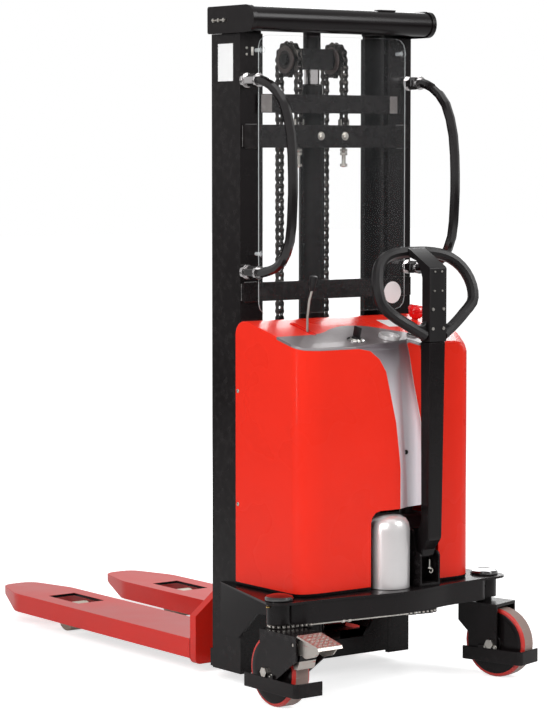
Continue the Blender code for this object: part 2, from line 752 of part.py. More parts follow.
def build_fork(side):
    inner = fork_half_span - fork_width
    centre_x = inner + fork_width / 2
    shoulder = fork_tip_y - nose_length
    nose = [(inner, shoulder - 0.015, 0.15), (inner + 0.040, fork_tip_y, 0.045),
            (fork_half_span - 0.050, fork_tip_y, 0.045), (fork_half_span, shoulder - 0.005, 0.15)]
    heel_front = heel_rear_y + heel_thickness

    def blade(inset, low, high, rear):
        corners = [(inner + inset, rear)]
        for x, y, r in nose:
            x += inset if x < centre_x else -inset
            corners.append((x, y - inset, r))
        corners.append((fork_half_span - inset, rear))
        return plate([(side * x, y) for x, y in rounded(corners, 4)], "XY", low, high)

    shell = blade(0.0, fork_skirt_bottom, fork_top, heel_front - 0.003)
    hollow = blade(fork_skirt_wall, fork_skirt_bottom - 0.02, fork_top - fork_plate, heel_rear_y - 0.02)
    centre = side * (fork_half_span - fork_width / 2 - 0.003)
    window = box((centre - window_width / 2, centre + window_width / 2), window_y, (0.070, 0.110))
    ramp = plate([(shoulder, fork_skirt_bottom - 0.03), (fork_tip_y + 0.03, fork_skirt_bottom - 0.03),
                  (fork_tip_y + 0.03, fork_top - nose_lip), (fork_tip_y, fork_top - nose_lip),
                  (shoulder, fork_skirt_bottom - 0.0004)],
                 "YZ", -fork_half_span - 0.02, fork_half_span + 0.02)
    shell = carve(shell, hollow, window, ramp)
    lap = 0.0006
    x_out = fork_half_span + lap
    x_in = inner - 0.030
    notch = (centre_x - 0.003 - leg_width / 2 - 0.003, centre_x - 0.003 + leg_width / 2 + 0.003)
    notch_top = fork_top - fork_plate - lap
    heel = [(x_out, heel_bottom, 0.014), (x_out, heel_shoulder),
            (x_out - (heel_top - heel_shoulder) / 0.78, heel_top), (x_in, heel_top),
            (x_in, fork_skirt_bottom + 0.004), (notch[0], fork_skirt_bottom + 0.004), (notch[0], notch_top),
            (notch[1], notch_top), (notch[1], heel_bottom)]
    heel = plate([(side * x, z) for x, z in rounded(heel, 3)], "XZ", heel_rear_y, heel_front)
    gusset_x = sorted((side * (inner + 0.004), side * (inner + 0.012)))
    gusset = plate([(heel_front - 0.004, fork_top - 0.004), (heel_front + 0.055, fork_top - 0.004),
                    (heel_front - 0.004, fork_top + 0.07)], "YZ", gusset_x[0], gusset_x[1])
    settle(fuse(shell, heel, gusset), sided("fork", side), fork_red, carriage_slide)


for side in (-1, 1):
    build_fork(side)


# ---------------------------------------------------------------- mast rollers

for side in (-1, 1):
    centre = (side * mast_roller_x, mast_middle_y, mast_roller_z)
    axis = pivot(sided("mast_roller_axis", side), centre, mast_slide)
    roller = ring(0.012 + running_gap, mast_roller_radius, 0.024, centre, "X", 32)
    settle(roller, sided("mast_roller", side), zinc, axis)


# ---------------------------------------------------------------- base frame

def build_base_frame():
    left = [(-mast_half_width - 0.009, 0.075), (-kingpin_x - 0.044, -0.243), (-kingpin_x - 0.056, -0.291, 0.040),
            (-mast_half_width - 0.012, -0.2905, 0.10), (-0.160, -0.303, 0.30)]
    right = [(-corner[0], *corner[1:]) for corner in reversed(left)]
    tongue = mast_half_width + 0.0006
    back = [(tongue, 0.075), (tongue, -beam_plate - 0.001), (-tongue, -beam_plate - 0.001), (-tongue, 0.075)]
    deck = plate(rounded(left + [(0.0, -0.338, 0.40)] + right + back, 5), "XY", plate_top - plate_thickness, plate_top)
    skirt_path = [(-0.160, -0.298, 0.30), (0.0, -0.332, 0.40), (0.160, -0.298, 0.30)]
    weld_x = kingpin_x - 0.016
    weld_y = kingpin_y - 0.024
    outer = [(-weld_x, weld_y), (0.028 - weld_x, -0.290, 0.03), *skirt_path, (weld_x - 0.028, -0.290, 0.03),
             (weld_x, weld_y), (weld_x - 0.008, -0.200), (0.008 - weld_x, -0.200)]
    inner = [(x - math.copysign(skirt_wall, x) if abs(x) > 0.2 else x, y + skirt_wall, *radius)
             for x, y, *radius in outer[:-2]]
    skirt = plate(rounded(outer, 4), "XY", skirt_bottom, plate_top - 0.003)
    beyond = weld_x + 0.012
    inner += [(beyond, weld_y + skirt_wall), (beyond, -0.180), (-beyond, -0.180), (-beyond, weld_y + skirt_wall)]
    skirt = carve(skirt, plate(rounded(inner, 4), "XY", skirt_bottom - 0.02, plate_top + 0.02))
    pieces = [deck, skirt]
    for side in (-1, 1):
        pieces.append(ring(kingpin_radius + seat_gap, sleeve_radius, plate_top - 0.002 - sleeve_bottom,
                           (side * kingpin_x, kingpin_y, (plate_top - 0.002 + sleeve_bottom) / 2), "Z"))
        wall_x = sorted((side * (mast_half_width + 0.004), side * (mast_half_width + 0.012)))
        wall = [(0.072, plate_top - 0.0025), (0.072, 0.128), (-0.006, 0.128), (-0.085, skirt_bottom - 0.004),
                (-0.186, skirt_bottom + 0.002), (-0.186, plate_top - 0.0025)]
        pieces.append(plate(wall, "YZ", wall_x[0], wall_x[1]))
        link_x = sorted((side * (mast_half_width + 0.007), side * (kingpin_x - 0.027)))
        pieces.append(box(link_x, (-0.232, -0.170), (skirt_bottom + 0.003, plate_top - 0.0035)))
    bores = [cylinder((side * kingpin_x, kingpin_y, plate_top), "Z", kingpin_radius + running_gap, 0.03, 24)
             for side in (-1, 1)]
    bores.append(cylinder((tiller_x, tiller_y, plate_top), "Z", 0.016, 0.03, 20))
    settle(carve(fuse(*pieces), *bores), "base_frame", black_paint)


build_base_frame()


# ---------------------------------------------------------------- rear wheels, their forks and guards

def fork_outline(steered, wheel_y):
    top = wheel_fork_top - 0.001
    low = wheel_radius - 0.016
    if steered:
        return [(0.021, top), (wheel_y + 0.022, low, 0.006), (wheel_y - 0.038, low, 0.01), (-0.126, 0.134),
                (-0.126, top)]
    return [(0.050, top), (0.050, 0.143), (0.019, 0.115), (wheel_y + 0.067, low, 0.006), (wheel_y - 0.019, low, 0.006),
            (-0.068, top)]


def build_wheel_unit(side, name, trail, yaw, axis):
    # Built with the kingpin on the local Z axis and the wheel behind it, then turned by the yaw.
    turn = Matrix.Translation((side * kingpin_x, kingpin_y, 0)) @ Matrix.Rotation(yaw, 4, "Z")
    steered = side < 0
    wheel_y = -trail
    outline = fork_outline(steered, wheel_y)
    front, rear = outline[0][0], outline[-1][0]
    half = fork_outer_face
    pieces = [box((-half, half), (rear, front), (wheel_fork_top - 0.008, wheel_fork_top))]
    for face in (-1, 1):
        x = sorted((face * (half - 0.0002), face * (half - side_plate)))
        holes = [circle((brake_pin[0] - kingpin_y, brake_pin[1]), 0.0048, 16)] if steered else []
        pieces.append(plate(rounded(outline), "YZ", x[0], x[1], holes))
        pieces.append(cylinder((face * (half + 0.004), wheel_y, wheel_radius), "X", 0.0125, 0.0085, 6))
    pin_low = wheel_fork_top - 0.003
    pin_top = plate_top + 0.0015
    pieces.append(cylinder((0, 0, (pin_low + pin_top) / 2 + 0.001), "Z", kingpin_radius, pin_top - pin_low + 0.002, 24))
    pieces.append(turned([(0, pin_top + cap_height), (0.020, pin_top + cap_height - 0.001),
                          (cap_radius - 0.003, pin_top + cap_height - 0.005), (cap_radius, pin_top + cap_height - 0.009),
                          (cap_radius, pin_top), (0, pin_top)], (0, 0, 0), "Z", 28))
    pieces.append(cylinder((0, wheel_y, wheel_radius), "X", axle_radius, 2 * half - 0.002, 28))
    fork = fuse(*pieces)
    fork.data.transform(turn)
    settle(fork, name, black_paint, axis)

    hub_centre = (0, wheel_y, wheel_radius)
    spin = pivot(sided("wheel_axis", side), turn @ Vector(hub_centre), axis)
    half_tread = wheel_width / 2
    hub = turned([(hub_radius, 0.021), (hub_radius, -0.021), (0.050, -0.021), (0.046, -0.012), (0.026, -0.012),
                  (0.022, -0.031), (axle_radius + seat_gap, -0.031),
                  (axle_radius + seat_gap, 0.031), (0.022, 0.031), (0.026, 0.012), (0.046, 0.012),
                  (0.050, 0.021)], hub_centre, "X", 28, closed=True)
    hub.data.transform(turn)
    settle(hub, sided("wheel_hub", side), black_paint, spin)
    tread = turned([(wheel_radius - 0.004, half_tread), (wheel_radius, half_tread - 0.006),
                    (wheel_radius, -half_tread + 0.006), (wheel_radius - 0.004, -half_tread),
                    (hub_radius + seat_gap, -half_tread), (hub_radius + seat_gap, half_tread)],
                   hub_centre, "X", 36, closed=True)
    tread.data.transform(turn)
    settle(tread, sided("wheel_tread", side), tread_red, spin)

    # foot guard: a flat bar round the left and operator sides of the wheel
    near = -half - seat_gap
    rear_y = wheel_y - wheel_radius - (0.038 if steered else 0.0065)
    front_y = wheel_y + wheel_radius - 0.008
    tab_y = (wheel_y - 0.036, wheel_y - 0.016) if steered else (wheel_y + 0.016, wheel_y + 0.036)
    path = [(near, front_y), (near - guard_bar, front_y), (near - guard_bar, rear_y, 0.012), (half - 0.012, rear_y),
            (half - 0.012, rear_y + guard_bar), (near, rear_y + guard_bar, 0.007)]
    rail = plate(rounded(path, 6), "XY", guard_z[0], guard_z[1])
    tab = box((near - guard_bar, near), tab_y, (guard_z[1] - 0.004, guard_z[1] + 0.008))
    guard = fuse(rail, tab)
    guard.data.transform(turn)
    settle(guard, sided("foot_guard", side), black_paint, axis)


build_wheel_unit(-1, "steer_fork", 0.004, 0.0, steer_axis)
build_wheel_unit(1, "caster_fork", caster_trail, caster_yaw, caster_axis)


def build_brake_pedal():
    axis = pivot("brake_pedal_axis", (-kingpin_x, *brake_pin), steer_axis)
    tread = plate(rounded([(-0.366, 0.1935), (-0.368, 0.198), (-0.448, 0.180, 0.006), (-0.452, 0.172), (-0.449, 0.171),
                           (-0.444, 0.1755, 0.003)]), "YZ", -kingpin_x - 0.044, -kingpin_x + 0.030)
    pieces = [tread]
    for low, high in ((-0.032, -0.028), (0.020, 0.024)):
        cheek = [(-0.342, 0.182, 0.006), (-0.3648, 0.184), (-0.3662, 0.1952), (-0.446, 0.1768), (-0.425, 0.153, 0.02),
                 (-0.385, 0.142, 0.02), (-0.362, 0.152, 0.01), (-0.342, 0.163, 0.008)]
        pieces.append(plate(rounded(cheek, 4), "YZ", low - kingpin_x, high - kingpin_x))
    pieces.append(cylinder((-kingpin_x, *brake_pin), "X", 0.004, 2 * fork_outer_face - 0.003, 16))
    lever = [(-0.352, 0.160), (-0.364, 0.150), (-0.352, 0.112), (-0.340, 0.110), (-0.340, 0.126)]
    pieces.append(plate(lever, "YZ", -kingpin_x - 0.0295, -kingpin_x + 0.0215))
    pieces.append(box((-kingpin_x - 0.029, -kingpin_x + 0.021), (-0.348, -0.3345), (0.109, 0.130)))
    settle(fuse(*pieces), "brake_pedal", zinc, axis)


build_brake_pedal()


def build_steering_chain():
    # A run of chain round each sprocket, joined by two tie rods with lock nuts.
    low, high = steering_chain_z
    inner = kingpin_radius + 0.0004
    outer = inner + steering_chain_depth
    pieces = []
    ends = [Vector((-kingpin_x, kingpin_y)), Vector((tiller_x, tiller_y))]
    along = (ends[1] - ends[0]).normalized()
    across = Vector((-along.y, along.x))
    for end, reach in ((ends[0], along), (ends[1], -along)):
        run = [end + reach * 0.075 + across * outer, end + reach * 0.075 - across * outer]
        slab = plate([end + across * outer, run[0], run[1], end - across * outer], "XY", low, high)
        wrap = fuse(cylinder((end.x, end.y, (low + high) / 2), "Z", outer, high - low, 24), slab)
        gap = plate([end + across * inner, end + reach * 0.12 + across * inner, end + reach * 0.12 - across * inner,
                     end - across * inner], "XY", low - 0.01, high + 0.01)
        hole = cylinder((end.x, end.y, (low + high) / 2), "Z", inner, 0.04, 24)
        pieces.append(carve(wrap, hole, gap))
    for face in (-1, 1):
        offset = across * face * (inner + outer) / 2
        start = ends[0] + along * 0.068 + offset
        finish = ends[1] - along * 0.068 + offset
        height = (low + high) / 2
        pieces.append(tube([(start.x, start.y, height), (finish.x, finish.y, height)], 0.003, 2))
        nut = start.lerp(finish, 0.36)
        pieces.append(tube([(nut.x, nut.y, height), (nut.x + along.x * 0.03, nut.y + along.y * 0.03, height)], 0.0047, 1))
    settle(fuse(*pieces), "steering_chain", chain_steel)


build_steering_chain()


# ---------------------------------------------------------------- power cover and console

def top_height(y):
    return cover_crest[1] - math.tan(cover_slope) * (cover_crest[0] - y)


def loft(sections, name="loft"):
    # Joins closed cross-sections of equal point count, first to last, and caps both ends.
    work = bmesh.new()
    rings = [[work.verts.new(point) for point in section] for section in sections]
    count = len(rings[0])
    for low, high in zip(rings, rings[1:]):
        for i in range(count):
            work.faces.new((low[i], low[(i + 1) % count], high[(i + 1) % count], high[i]))
    work.faces.new(list(reversed(rings[0])))
    work.faces.new(rings[-1])
    bmesh.ops.recalc_face_normals(work, faces=work.faces)
    mesh = bpy.data.meshes.new(name)
    work.to_mesh(mesh)
    work.free()
    return add_object(name, mesh)


# height, then x of the left edge, of the fold and of the right edge of the front channel
channel = [
    (0.440, 0.031, 0.073, 0.150), (0.563, 0.031, 0.066, 0.144), (0.600, 0.027, 0.063, 0.139),
    (0.680, 0.016, 0.057, 0.124), (0.760, -0.004, 0.050, 0.104), (0.810, -0.017, 0.046, 0.093),
    (0.842, -0.038, 0.043, 0.087), (0.864, -0.068, 0.041, 0.081), (0.874, -0.120, 0.040, 0.078),
    (0.960, -0.120, 0.040, 0.078),
]
fold_y = -0.241
channel_y = -0.228
lobe_run = 0.014


def channel_cutter(inset):
    sections = []
    for z, left, fold, right in channel:
        sections.append([
            (left, cover_front_y + inset, z), (left, cover_front_y - 0.05, z),
            (right + lobe_run + inset, cover_front_y - 0.05, z), (right + lobe_run + inset, cover_front_y + inset, z),
            (right + inset, channel_y + inset, z), (fold, fold_y + inset, z),
        ])
    return loft(sections)


def cover_body(inset):
    half = cover_half_width - inset
    front = cover_front_y + inset
    corner_left = 0.034 - inset
    corner_right = 0.055 - inset
    rear = cover_rear_y - inset
    plan = rounded([(-half, rear), (-half, front + 0.014, corner_left), (-half + 0.060, front + 0.002, 0.12),
                    (0.0, front, 0.6), (half - 0.060, front + 0.002, 0.12), (half, front + 0.014, corner_right),
                    (half, rear)], 4)
    low = cover_bottom if inset == 0 else cover_bottom - 0.02
    crest_y, crest_z = cover_crest
    rise = inset / math.cos(cover_slope)
    side_view = rounded([(rear, low), (rear, crest_z + 0.002 - rise, 0.036 - inset),
                         (crest_y - 0.012, top_height(crest_y - 0.012) - rise), (-0.31, top_height(-0.31) - rise),
                         (-0.31, low)], 6)
    body = common(plate(plan, "XY", low - 0.001, 1.0), plate(side_view, "YZ", -half - 0.03, half + 0.03))
    return carve(body, channel_cutter(inset))


def console_region(gap):
    # The grey part: the skin of the sloping top in front of a wavy line, and the channel down the front.
    beyond = cover_half_width + 0.016
    line = [(-beyond, -0.160), (0.102 - cover_half_width, -0.160, 0.05), (-0.133, -0.150, 0.10),
            (-0.088, -0.123, 0.08), (-0.040, -0.104, 0.08), (0.027, -0.108, 0.08), (0.060, -0.131, 0.10),
            (0.127, -0.185, 0.10), (cover_half_width - 0.079, -0.210, 0.05), (cover_half_width - 0.039, -0.218),
            (cover_half_width - 0.034, -0.320), (-beyond, -0.320)]
    outline = rounded([(x, y - gap if y > -0.3 else y, *radius) for x, y, *radius in line], 3)
    skin = 0.007 - gap
    band = plate([(0.0, top_height(0.0) - skin), (-0.33, top_height(-0.33) - skin), (-0.33, 1.0), (0.0, 1.0)],
                 "YZ", -beyond - 0.01, beyond + 0.01)
    top = common(plate(outline, "XY", 0.80, 0.99), band)
    left = [(x + gap, z) for z, x, fold, right in channel[:-1]]
    right = [(x - gap, z) for z, fold, middle, x in channel[:-1]]
    strip = plate([(left[0][0], 0.430), *left, (-0.150, 0.890), (0.090, 0.890), *reversed(right), (right[0][0], 0.430)],
                  "XZ", -0.320, -0.190)
    return fuse(top, strip)


def build_cover():
    outer = rounded_edges(cover_body(0.0), 0.005, 2, 50)
    inner = cover_body(cover_wall)
    rear_bay = box((-mast_half_width - 0.0022, mast_half_width + 0.0022), (-0.003, 0.1), (0.20, 1.0))
    front_opening = plate(rounded([(opening_x[0], 0.20), (opening_x[0], opening_top, 0.03),
                                   (opening_x[1], opening_top, 0.012), (opening_x[1], 0.20)]), "XZ", -0.5, -0.19)
    shell = carve(outer, inner, rear_bay, front_opening)
    return shell


def on_top(source, place):
    # Stands a piece, built upright at the origin, on the sloping top at (x, y).
    seat = Vector((place[0], place[1], top_height(place[1])))
    source.data.transform(Matrix.Translation(seat) @ Matrix.Rotation(cover_slope, 4, "X"))
    return source


def build_cover_and_console():
    shell = build_cover()
    panel = common(add_object("panel", shell.data.copy()), console_region(seat_gap))
    panel_holes = [on_top(cylinder((0, 0, 0), "Z", radius + seat_gap, 0.06, 24), place)
                   for place, radius in ((key_place, key_barrel), (gauge_place, gauge_barrel),
                                         (socket_place, socket_barrel))]
    settle(carve(panel, *panel_holes), "console_panel", console_grey)
    stop_hole = on_top(cylinder((0, 0, 0), "Z", stop_stem + seat_gap, 0.06, 24), stop_place)
    slot = box((lever_x - 0.005, lever_x + 0.005), (-0.156, -0.070), (0.89, 0.96))
    lever_bore = cylinder((lever_x, lever_y, lever_pin_z), "X", lever_pin_radius + seat_gap, 0.06, 20)
    lugs = [box((lever_x + dx - 0.003, lever_x + dx + 0.003), (lever_y - 0.011, lever_y + 0.011),
                (lever_pin_z - 0.012, top_height(lever_y) - 0.004)) for dx in (-0.010, 0.010)]
    cover = carve(shell, console_region(0.0), stop_hole, slot)
    settle(carve(fuse(cover, *lugs), lever_bore), "power_cover", cover_red)


build_cover_and_console()


def build_instruments():
    lift = seat_gap
    gauge = turned([(0, 0.003), (0.0215, 0.003), (0.0225, 0.009), (0.0265, 0.009), (0.028, lift),
                    (gauge_barrel, lift), (gauge_barrel, -0.018), (0, -0.018)], (0, 0, 0), "Z", 28)
    settle(on_top(gauge, gauge_place), "battery_gauge", hood_silver)

    seat = Vector((key_place[0], key_place[1], top_height(key_place[1])))
    turn = pivot("key_axis", seat)
    barrel = turned([(0, 0.010), (0.010, 0.010), (0.013, 0.006), (0.0165, 0.002), (0.0165, lift),
                     (key_barrel, lift), (key_barrel, -0.022), (0, -0.022)], (0, 0, 0), "Z", 20)
    grip = rounded_edges(box((-0.0025, 0.0025), (-0.013, 0.013), (0.008, 0.036)), 0.0015, 2)
    settle(on_top(fuse(barrel, grip), key_place), "key_switch", black_plastic, turn)

    socket = turned([(0, -0.002), (0.006, -0.002), (0.007, 0.006), (0.013, 0.006), (0.015, 0.003), (0.015, lift),
                     (socket_barrel, lift), (socket_barrel, -0.020), (0, -0.020)], (0, 0, 0), "Z", 20)
    settle(on_top(socket, socket_place), "charging_socket", black_plastic)

    seat = Vector((stop_place[0], stop_place[1], top_height(stop_place[1])))
    push = pivot("stop_axis", seat)
    mushroom = turned([(0, 0.040), (0.010, 0.0395), (0.019, 0.036), (0.0225, 0.031), (0.0225, 0.026),
                       (0.019, 0.021), (0.012, 0.020), (0.012, 0.006), (stop_stem, 0.006), (stop_stem, -0.024),
                       (0, -0.024)], (0, 0, 0), "Z", 24)
    settle(on_top(mushroom, stop_place), "emergency_stop", stop_red, push)

    foot = (lever_x, lever_y, lever_pin_z)
    swing = pivot("lift_lever_axis", foot)
    rod = tube([foot, (lever_x, -0.132, 0.944), (lever_x, -0.140, 0.989),
                (lever_x, -0.152, 1.016)], 0.0032, 2)
    pin = cylinder(foot, "X", lever_pin_radius, 0.027, 20)
    knob = cylinder((0, 0, 0.019), "Z", 0.0055, 0.038, 24, top_radius=0.0105)
    knob = rounded_edges(knob, 0.002, 2, 40)
    knob.data.transform(Matrix.Translation((lever_x, -0.150, 1.012)) @ Matrix.Rotation(math.radians(12), 4, "X"))
    settle(fuse(rod, pin, knob), "lift_lever", zinc, swing)


build_instruments()


# ---------------------------------------------------------------- inside the cover

def build_power_pack():
    low = plate_top + seat_gap
    hood = turned([(0, hood_top), (hood_radius * 0.55, hood_top - 0.0015), (hood_radius - 0.010, hood_top - 0.009),
                   (hood_radius - 0.0025, hood_top - 0.021), (hood_radius, hood_top - 0.037), (hood_radius, low),
                   (0, low)], (*hood_place, 0), "Z", 32)
    settle(hood, "motor_hood", hood_silver)
    battery = fuse(
        rounded_edges(box((0.022 - cover_half_width, -0.070), (-0.186, -0.020), (low, 0.520)), 0.006, 2),
        cylinder((-0.220, -0.060, 0.528), "Z", 0.009, 0.024, 16),
        cylinder((-0.112, -0.060, 0.528), "Z", 0.009, 0.024, 16),
        box((-0.250, -0.082), (-0.120, -0.108), (0.515, 0.527)),
    )
    settle(battery, "battery", battery_grey)
    pump = fuse(
        rounded_edges(box((-0.030, 0.240), (-0.150, -0.060), (0.300, 0.420)), 0.008, 2),
        cylinder((0.020, -0.105, 0.500), "Z", 0.042, 0.170, 24),
        box((-0.045, 0.075), (-0.170, -0.040), (low, 0.310)),
        cylinder((0.180, -0.105, 0.428), "Z", 0.018, 0.030, 20),
    )
    settle(pump, "pump_unit", battery_grey)


build_power_pack()


# ---------------------------------------------------------------- tiller

def build_tiller():
    x = tiller_x
    half = 0.0325
    wall = 0.005
    low = plate_top + seat_gap
    front, rear = -0.300, -0.250
    pieces = [box((x - half, x + half), (front, rear), (low, low + 0.008))]
    for face in (-1, 1):
        cheek_x = sorted((x + face * half, x + face * (half - wall)))
        pieces.append(plate(rounded([(rear, low + 0.002), (rear, 0.408, 0.006), (rear - 0.020, 0.404, 0.012),
                                     (front + 0.018, 0.350, 0.004), (front, 0.349, 0.012), (front, low + 0.002)]),
                            "YZ", cheek_x[0], cheek_x[1]))
    pieces.append(box((x - half + 0.002, x + half - 0.002), (rear - wall, rear - 0.0005), (low + 0.003, 0.406)))
    pieces.append(cylinder((x, tiller_pin_y, tiller_pin_z), "X", tiller_pin_radius, 2 * half + 0.008, 20))
    pieces.append(cylinder((x, tiller_y, plate_top - 0.030), "Z", 0.0145, 0.072, 20))
    pieces.append(cylinder((x, tiller_y, (steering_chain_z[0] + steering_chain_z[1]) / 2), "Z", kingpin_radius,
                           0.014, 24))
    settle(fuse(*pieces), "tiller_bracket", black_paint, tiller_swivel)

    end_rear = tiller_pin_y + tiller_end_radius
    end_low = tiller_pin_z - tiller_end_radius
    profile = rounded([(arm_y[1], arm_top), (arm_y[1], 0.430, 0.05), (end_rear, 0.372, 0.02),
                       (end_rear, end_low, tiller_end_radius - 0.0005), (tiller_pin_y - 0.018, end_low, 0.012),
                       (-0.294, 0.354, 0.01), (arm_y[0] + 0.006, 0.385, 0.02), (arm_y[0], arm_top)], 3)
    slab = plate(profile, "YZ", x - 0.05, x + 0.05)
    foot_half = arm_half_width - 0.0038
    taper = plate([(x - arm_half_width, arm_top + 0.01), (x - foot_half, 0.42), (x - foot_half, 0.30),
                   (x + foot_half, 0.30), (x + foot_half, 0.42), (x + arm_half_width, arm_top + 0.01)],
                  "XZ", -0.40, -0.20)
    arm = rounded_edges(common(slab, taper), 0.003, 1, 40)
    bore = cylinder((x, tiller_pin_y, tiller_pin_z), "X", tiller_pin_radius + seat_gap, 0.08, 20)
    settle(carve(arm, bore), "tiller_arm", black_paint, tiller_tilt)

    foot = arm_top + seat_gap
    spine = plate(rounded([(arm_y[0], foot), (arm_y[0], head_face_top, 0.006), (-0.238, 1.1185, 0.008),
                           (-0.228, 1.110), (-0.249, 1.093), (-0.273, 1.086, 0.01), (-0.288, 1.068),
                           (head_rear_y, 1.044, 0.01), (head_rear_y, 0.930), (-0.290, 0.905), (-0.290, foot)], 3),
                  "YZ", x - head_half_width, x + head_half_width)
    pieces = [rounded_edges(spine, 0.003, 1, 40)]
    loop = smooth_path([(x - 0.030, -0.3105, 0.900), (x - 0.064, -0.305, 0.919), (x - 0.096, -0.297, 0.938),
                        (x - 0.117, -0.291, 0.952), (x - 0.146, -0.287, 0.976), (x - 0.1545, -0.281, 1.003),
                        (x - 0.151, -0.270, 1.036), (x - 0.137, -0.256, 1.066), (x - 0.112, -0.243, 1.088),
                        (x - 0.080, -0.234, 1.100), (x - 0.040, -0.230, 1.105), (x, -0.229, 1.1055)], 2)
    pieces.append(tube(loop + [Vector((2 * x - p.x, p.y, p.z)) for p in reversed(loop[:-1])], loop_radius, 3))
    for z, offset, radius in ((1.060, 0.0112, 0.0025), (1.012, 0.0125, 0.0025), (0.966, 0.0172, 0.0042),
                              (0.917, 0.0172, 0.0042)):
        for face in (-1, 1):
            pieces.append(cylinder((x + face * offset, arm_y[0], z), "Y", radius, 0.005, 8))
    settle(fuse(*pieces), "tiller_head", black_plastic, tiller_tilt)


build_tiller()


# ---------------------------------------------------------------- guard screen and grab handles

def build_guard():
    outline = rounded([(-screen_half, screen_z[0], 0.03), (screen_half, screen_z[0], 0.03),
                       (screen_half, screen_z[1], 0.03), (-screen_half, screen_z[1], 0.03)])
    pieces = [plate(outline, "XZ", screen_y[0], screen_y[1])]
    sunk = screen_y[1] - 0.0015
    for x in (-screen_screw_x, screen_screw_x):
        for z in screen_screw_z:
            pieces.append(turned([(0, -seat_gap), (0.005, -seat_gap), (0.005, sunk), (0.0085, sunk - 0.001),
                                  (0.0085, screen_y[0] - 0.0035), (0, screen_y[0] - 0.0035)], (x, 0, z), "Y", 12))
    settle(fuse(*pieces), "guard_screen", clear_acrylic)


def build_handle(side):
    x = side * handle_x
    low, high = handle_z
    near = handle_face_y - 0.006
    path = smooth_path([(x, near, high), (x, -0.110, high - 0.015), (x, -0.160, high - 0.057),
                        (x, -0.190, high - 0.137), (x, -0.198, high - 0.237), (x, -0.196, low + 0.163),
                        (x, -0.186, low + 0.083), (x, -0.152, low + 0.028), (x, -0.108, low + 0.008),
                        (x, near, low)], 2)
    seat = handle_face_y - seat_gap
    grip = tube([(x, seat, high), *path, (x, seat, low)], handle_radius, 2)
    settle(grip, sided("grab_handle", side), black_plastic)
    for row, z in zip(("lower", "upper"), handle_z):
        fitting = fuse(
            cylinder((x, (handle_face_y - seat_gap) / 2, z), "Y", 0.0165, -handle_face_y - 2 * seat_gap, 6),
            cylinder((x, -0.005 - seat_gap, z), "Y", 0.019, 0.010, 16),
            cylinder((x, handle_face_y + 0.004, z), "Y", 0.0175, 0.008, 16),
        )
        settle(fitting, sided(row + "_handle_fitting", side), chrome)


build_guard()
for side in (-1, 1):
    build_handle(side)
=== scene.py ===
import json
import math

import bmesh
import bpy
from mathutils import Matrix, Vector

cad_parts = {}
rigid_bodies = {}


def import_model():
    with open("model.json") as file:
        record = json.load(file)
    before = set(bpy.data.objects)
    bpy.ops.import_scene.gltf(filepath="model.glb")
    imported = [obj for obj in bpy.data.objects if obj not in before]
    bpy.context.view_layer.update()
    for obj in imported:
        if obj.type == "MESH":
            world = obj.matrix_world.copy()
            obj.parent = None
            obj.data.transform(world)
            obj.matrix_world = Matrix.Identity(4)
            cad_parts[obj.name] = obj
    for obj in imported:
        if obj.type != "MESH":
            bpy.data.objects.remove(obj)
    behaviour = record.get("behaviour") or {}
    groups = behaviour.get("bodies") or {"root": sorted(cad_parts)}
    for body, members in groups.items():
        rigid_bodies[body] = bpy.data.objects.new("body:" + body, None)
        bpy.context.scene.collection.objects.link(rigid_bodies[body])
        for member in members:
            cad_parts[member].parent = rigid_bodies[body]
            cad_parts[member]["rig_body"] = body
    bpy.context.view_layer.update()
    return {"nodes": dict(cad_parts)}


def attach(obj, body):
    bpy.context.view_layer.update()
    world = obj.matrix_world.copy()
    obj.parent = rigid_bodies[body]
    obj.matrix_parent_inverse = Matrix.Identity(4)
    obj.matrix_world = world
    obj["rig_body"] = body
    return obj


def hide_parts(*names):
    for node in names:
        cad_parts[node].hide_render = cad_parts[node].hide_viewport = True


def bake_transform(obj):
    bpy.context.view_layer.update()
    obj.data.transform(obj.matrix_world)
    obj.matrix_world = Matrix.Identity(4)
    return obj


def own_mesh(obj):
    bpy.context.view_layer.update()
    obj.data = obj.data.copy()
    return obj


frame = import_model()


cadNodes = frame["nodes"]
mastShift = Vector((-0.018, -0.4025, 0.0))  # from the mast's centre plane and rear face to the world


def at(x, y, z):
    return Vector((x, y, z)) + mastShift


# shader nodes, and the groups that the finishes draw on

def feed(tree, node, inputs):
    # a link where the value is another node's output, a fixed value otherwise
    for label, value in inputs.items():
        if isinstance(value, bpy.types.NodeSocket):
            tree.links.new(value, node.inputs[label])
        else:
            node.inputs[label].default_value = value
    return node


def addRange(tree, value, fromValues=(0.0, 1.0), toValues=(0.0, 1.0), smooth=False):
    made = tree.nodes.new("ShaderNodeMapRange")
    if smooth:
        made.interpolation_type = "SMOOTHSTEP"
    feed(tree, made, {"Value": value, "From Min": fromValues[0], "From Max": fromValues[1],
                      "To Min": toValues[0], "To Max": toValues[1]})
    return made.outputs["Result"]


def addMath(tree, operation, *terms, clamp=False):
    made = tree.nodes.new("ShaderNodeMath")
    made.operation = operation
    made.use_clamp = clamp
    return feed(tree, made, dict(enumerate(terms))).outputs["Value"]


def addMix(tree, factor, first, second):
    made = tree.nodes.new("ShaderNodeMix")
    made.data_type = "RGBA"
    return feed(tree, made, {"Factor": factor, "A": first, "B": second}).outputs["Result"]


def addNoise(tree, vector, scale, detail, roughness=0.5):
    noise = tree.nodes.new("ShaderNodeTexNoise")
    feed(tree, noise, {"Vector": vector, "Scale": scale, "Detail": detail, "Roughness": roughness})
    return noise.outputs["Fac"]


def addSplit(tree, vector, axis):
    split = tree.nodes.new("ShaderNodeSeparateXYZ")
    return feed(tree, split, {"Vector": vector}).outputs[axis]


def addGroup(tree, group, inputs):
    made = tree.nodes.new("ShaderNodeGroup")
    made.node_tree = group
    return feed(tree, made, inputs)


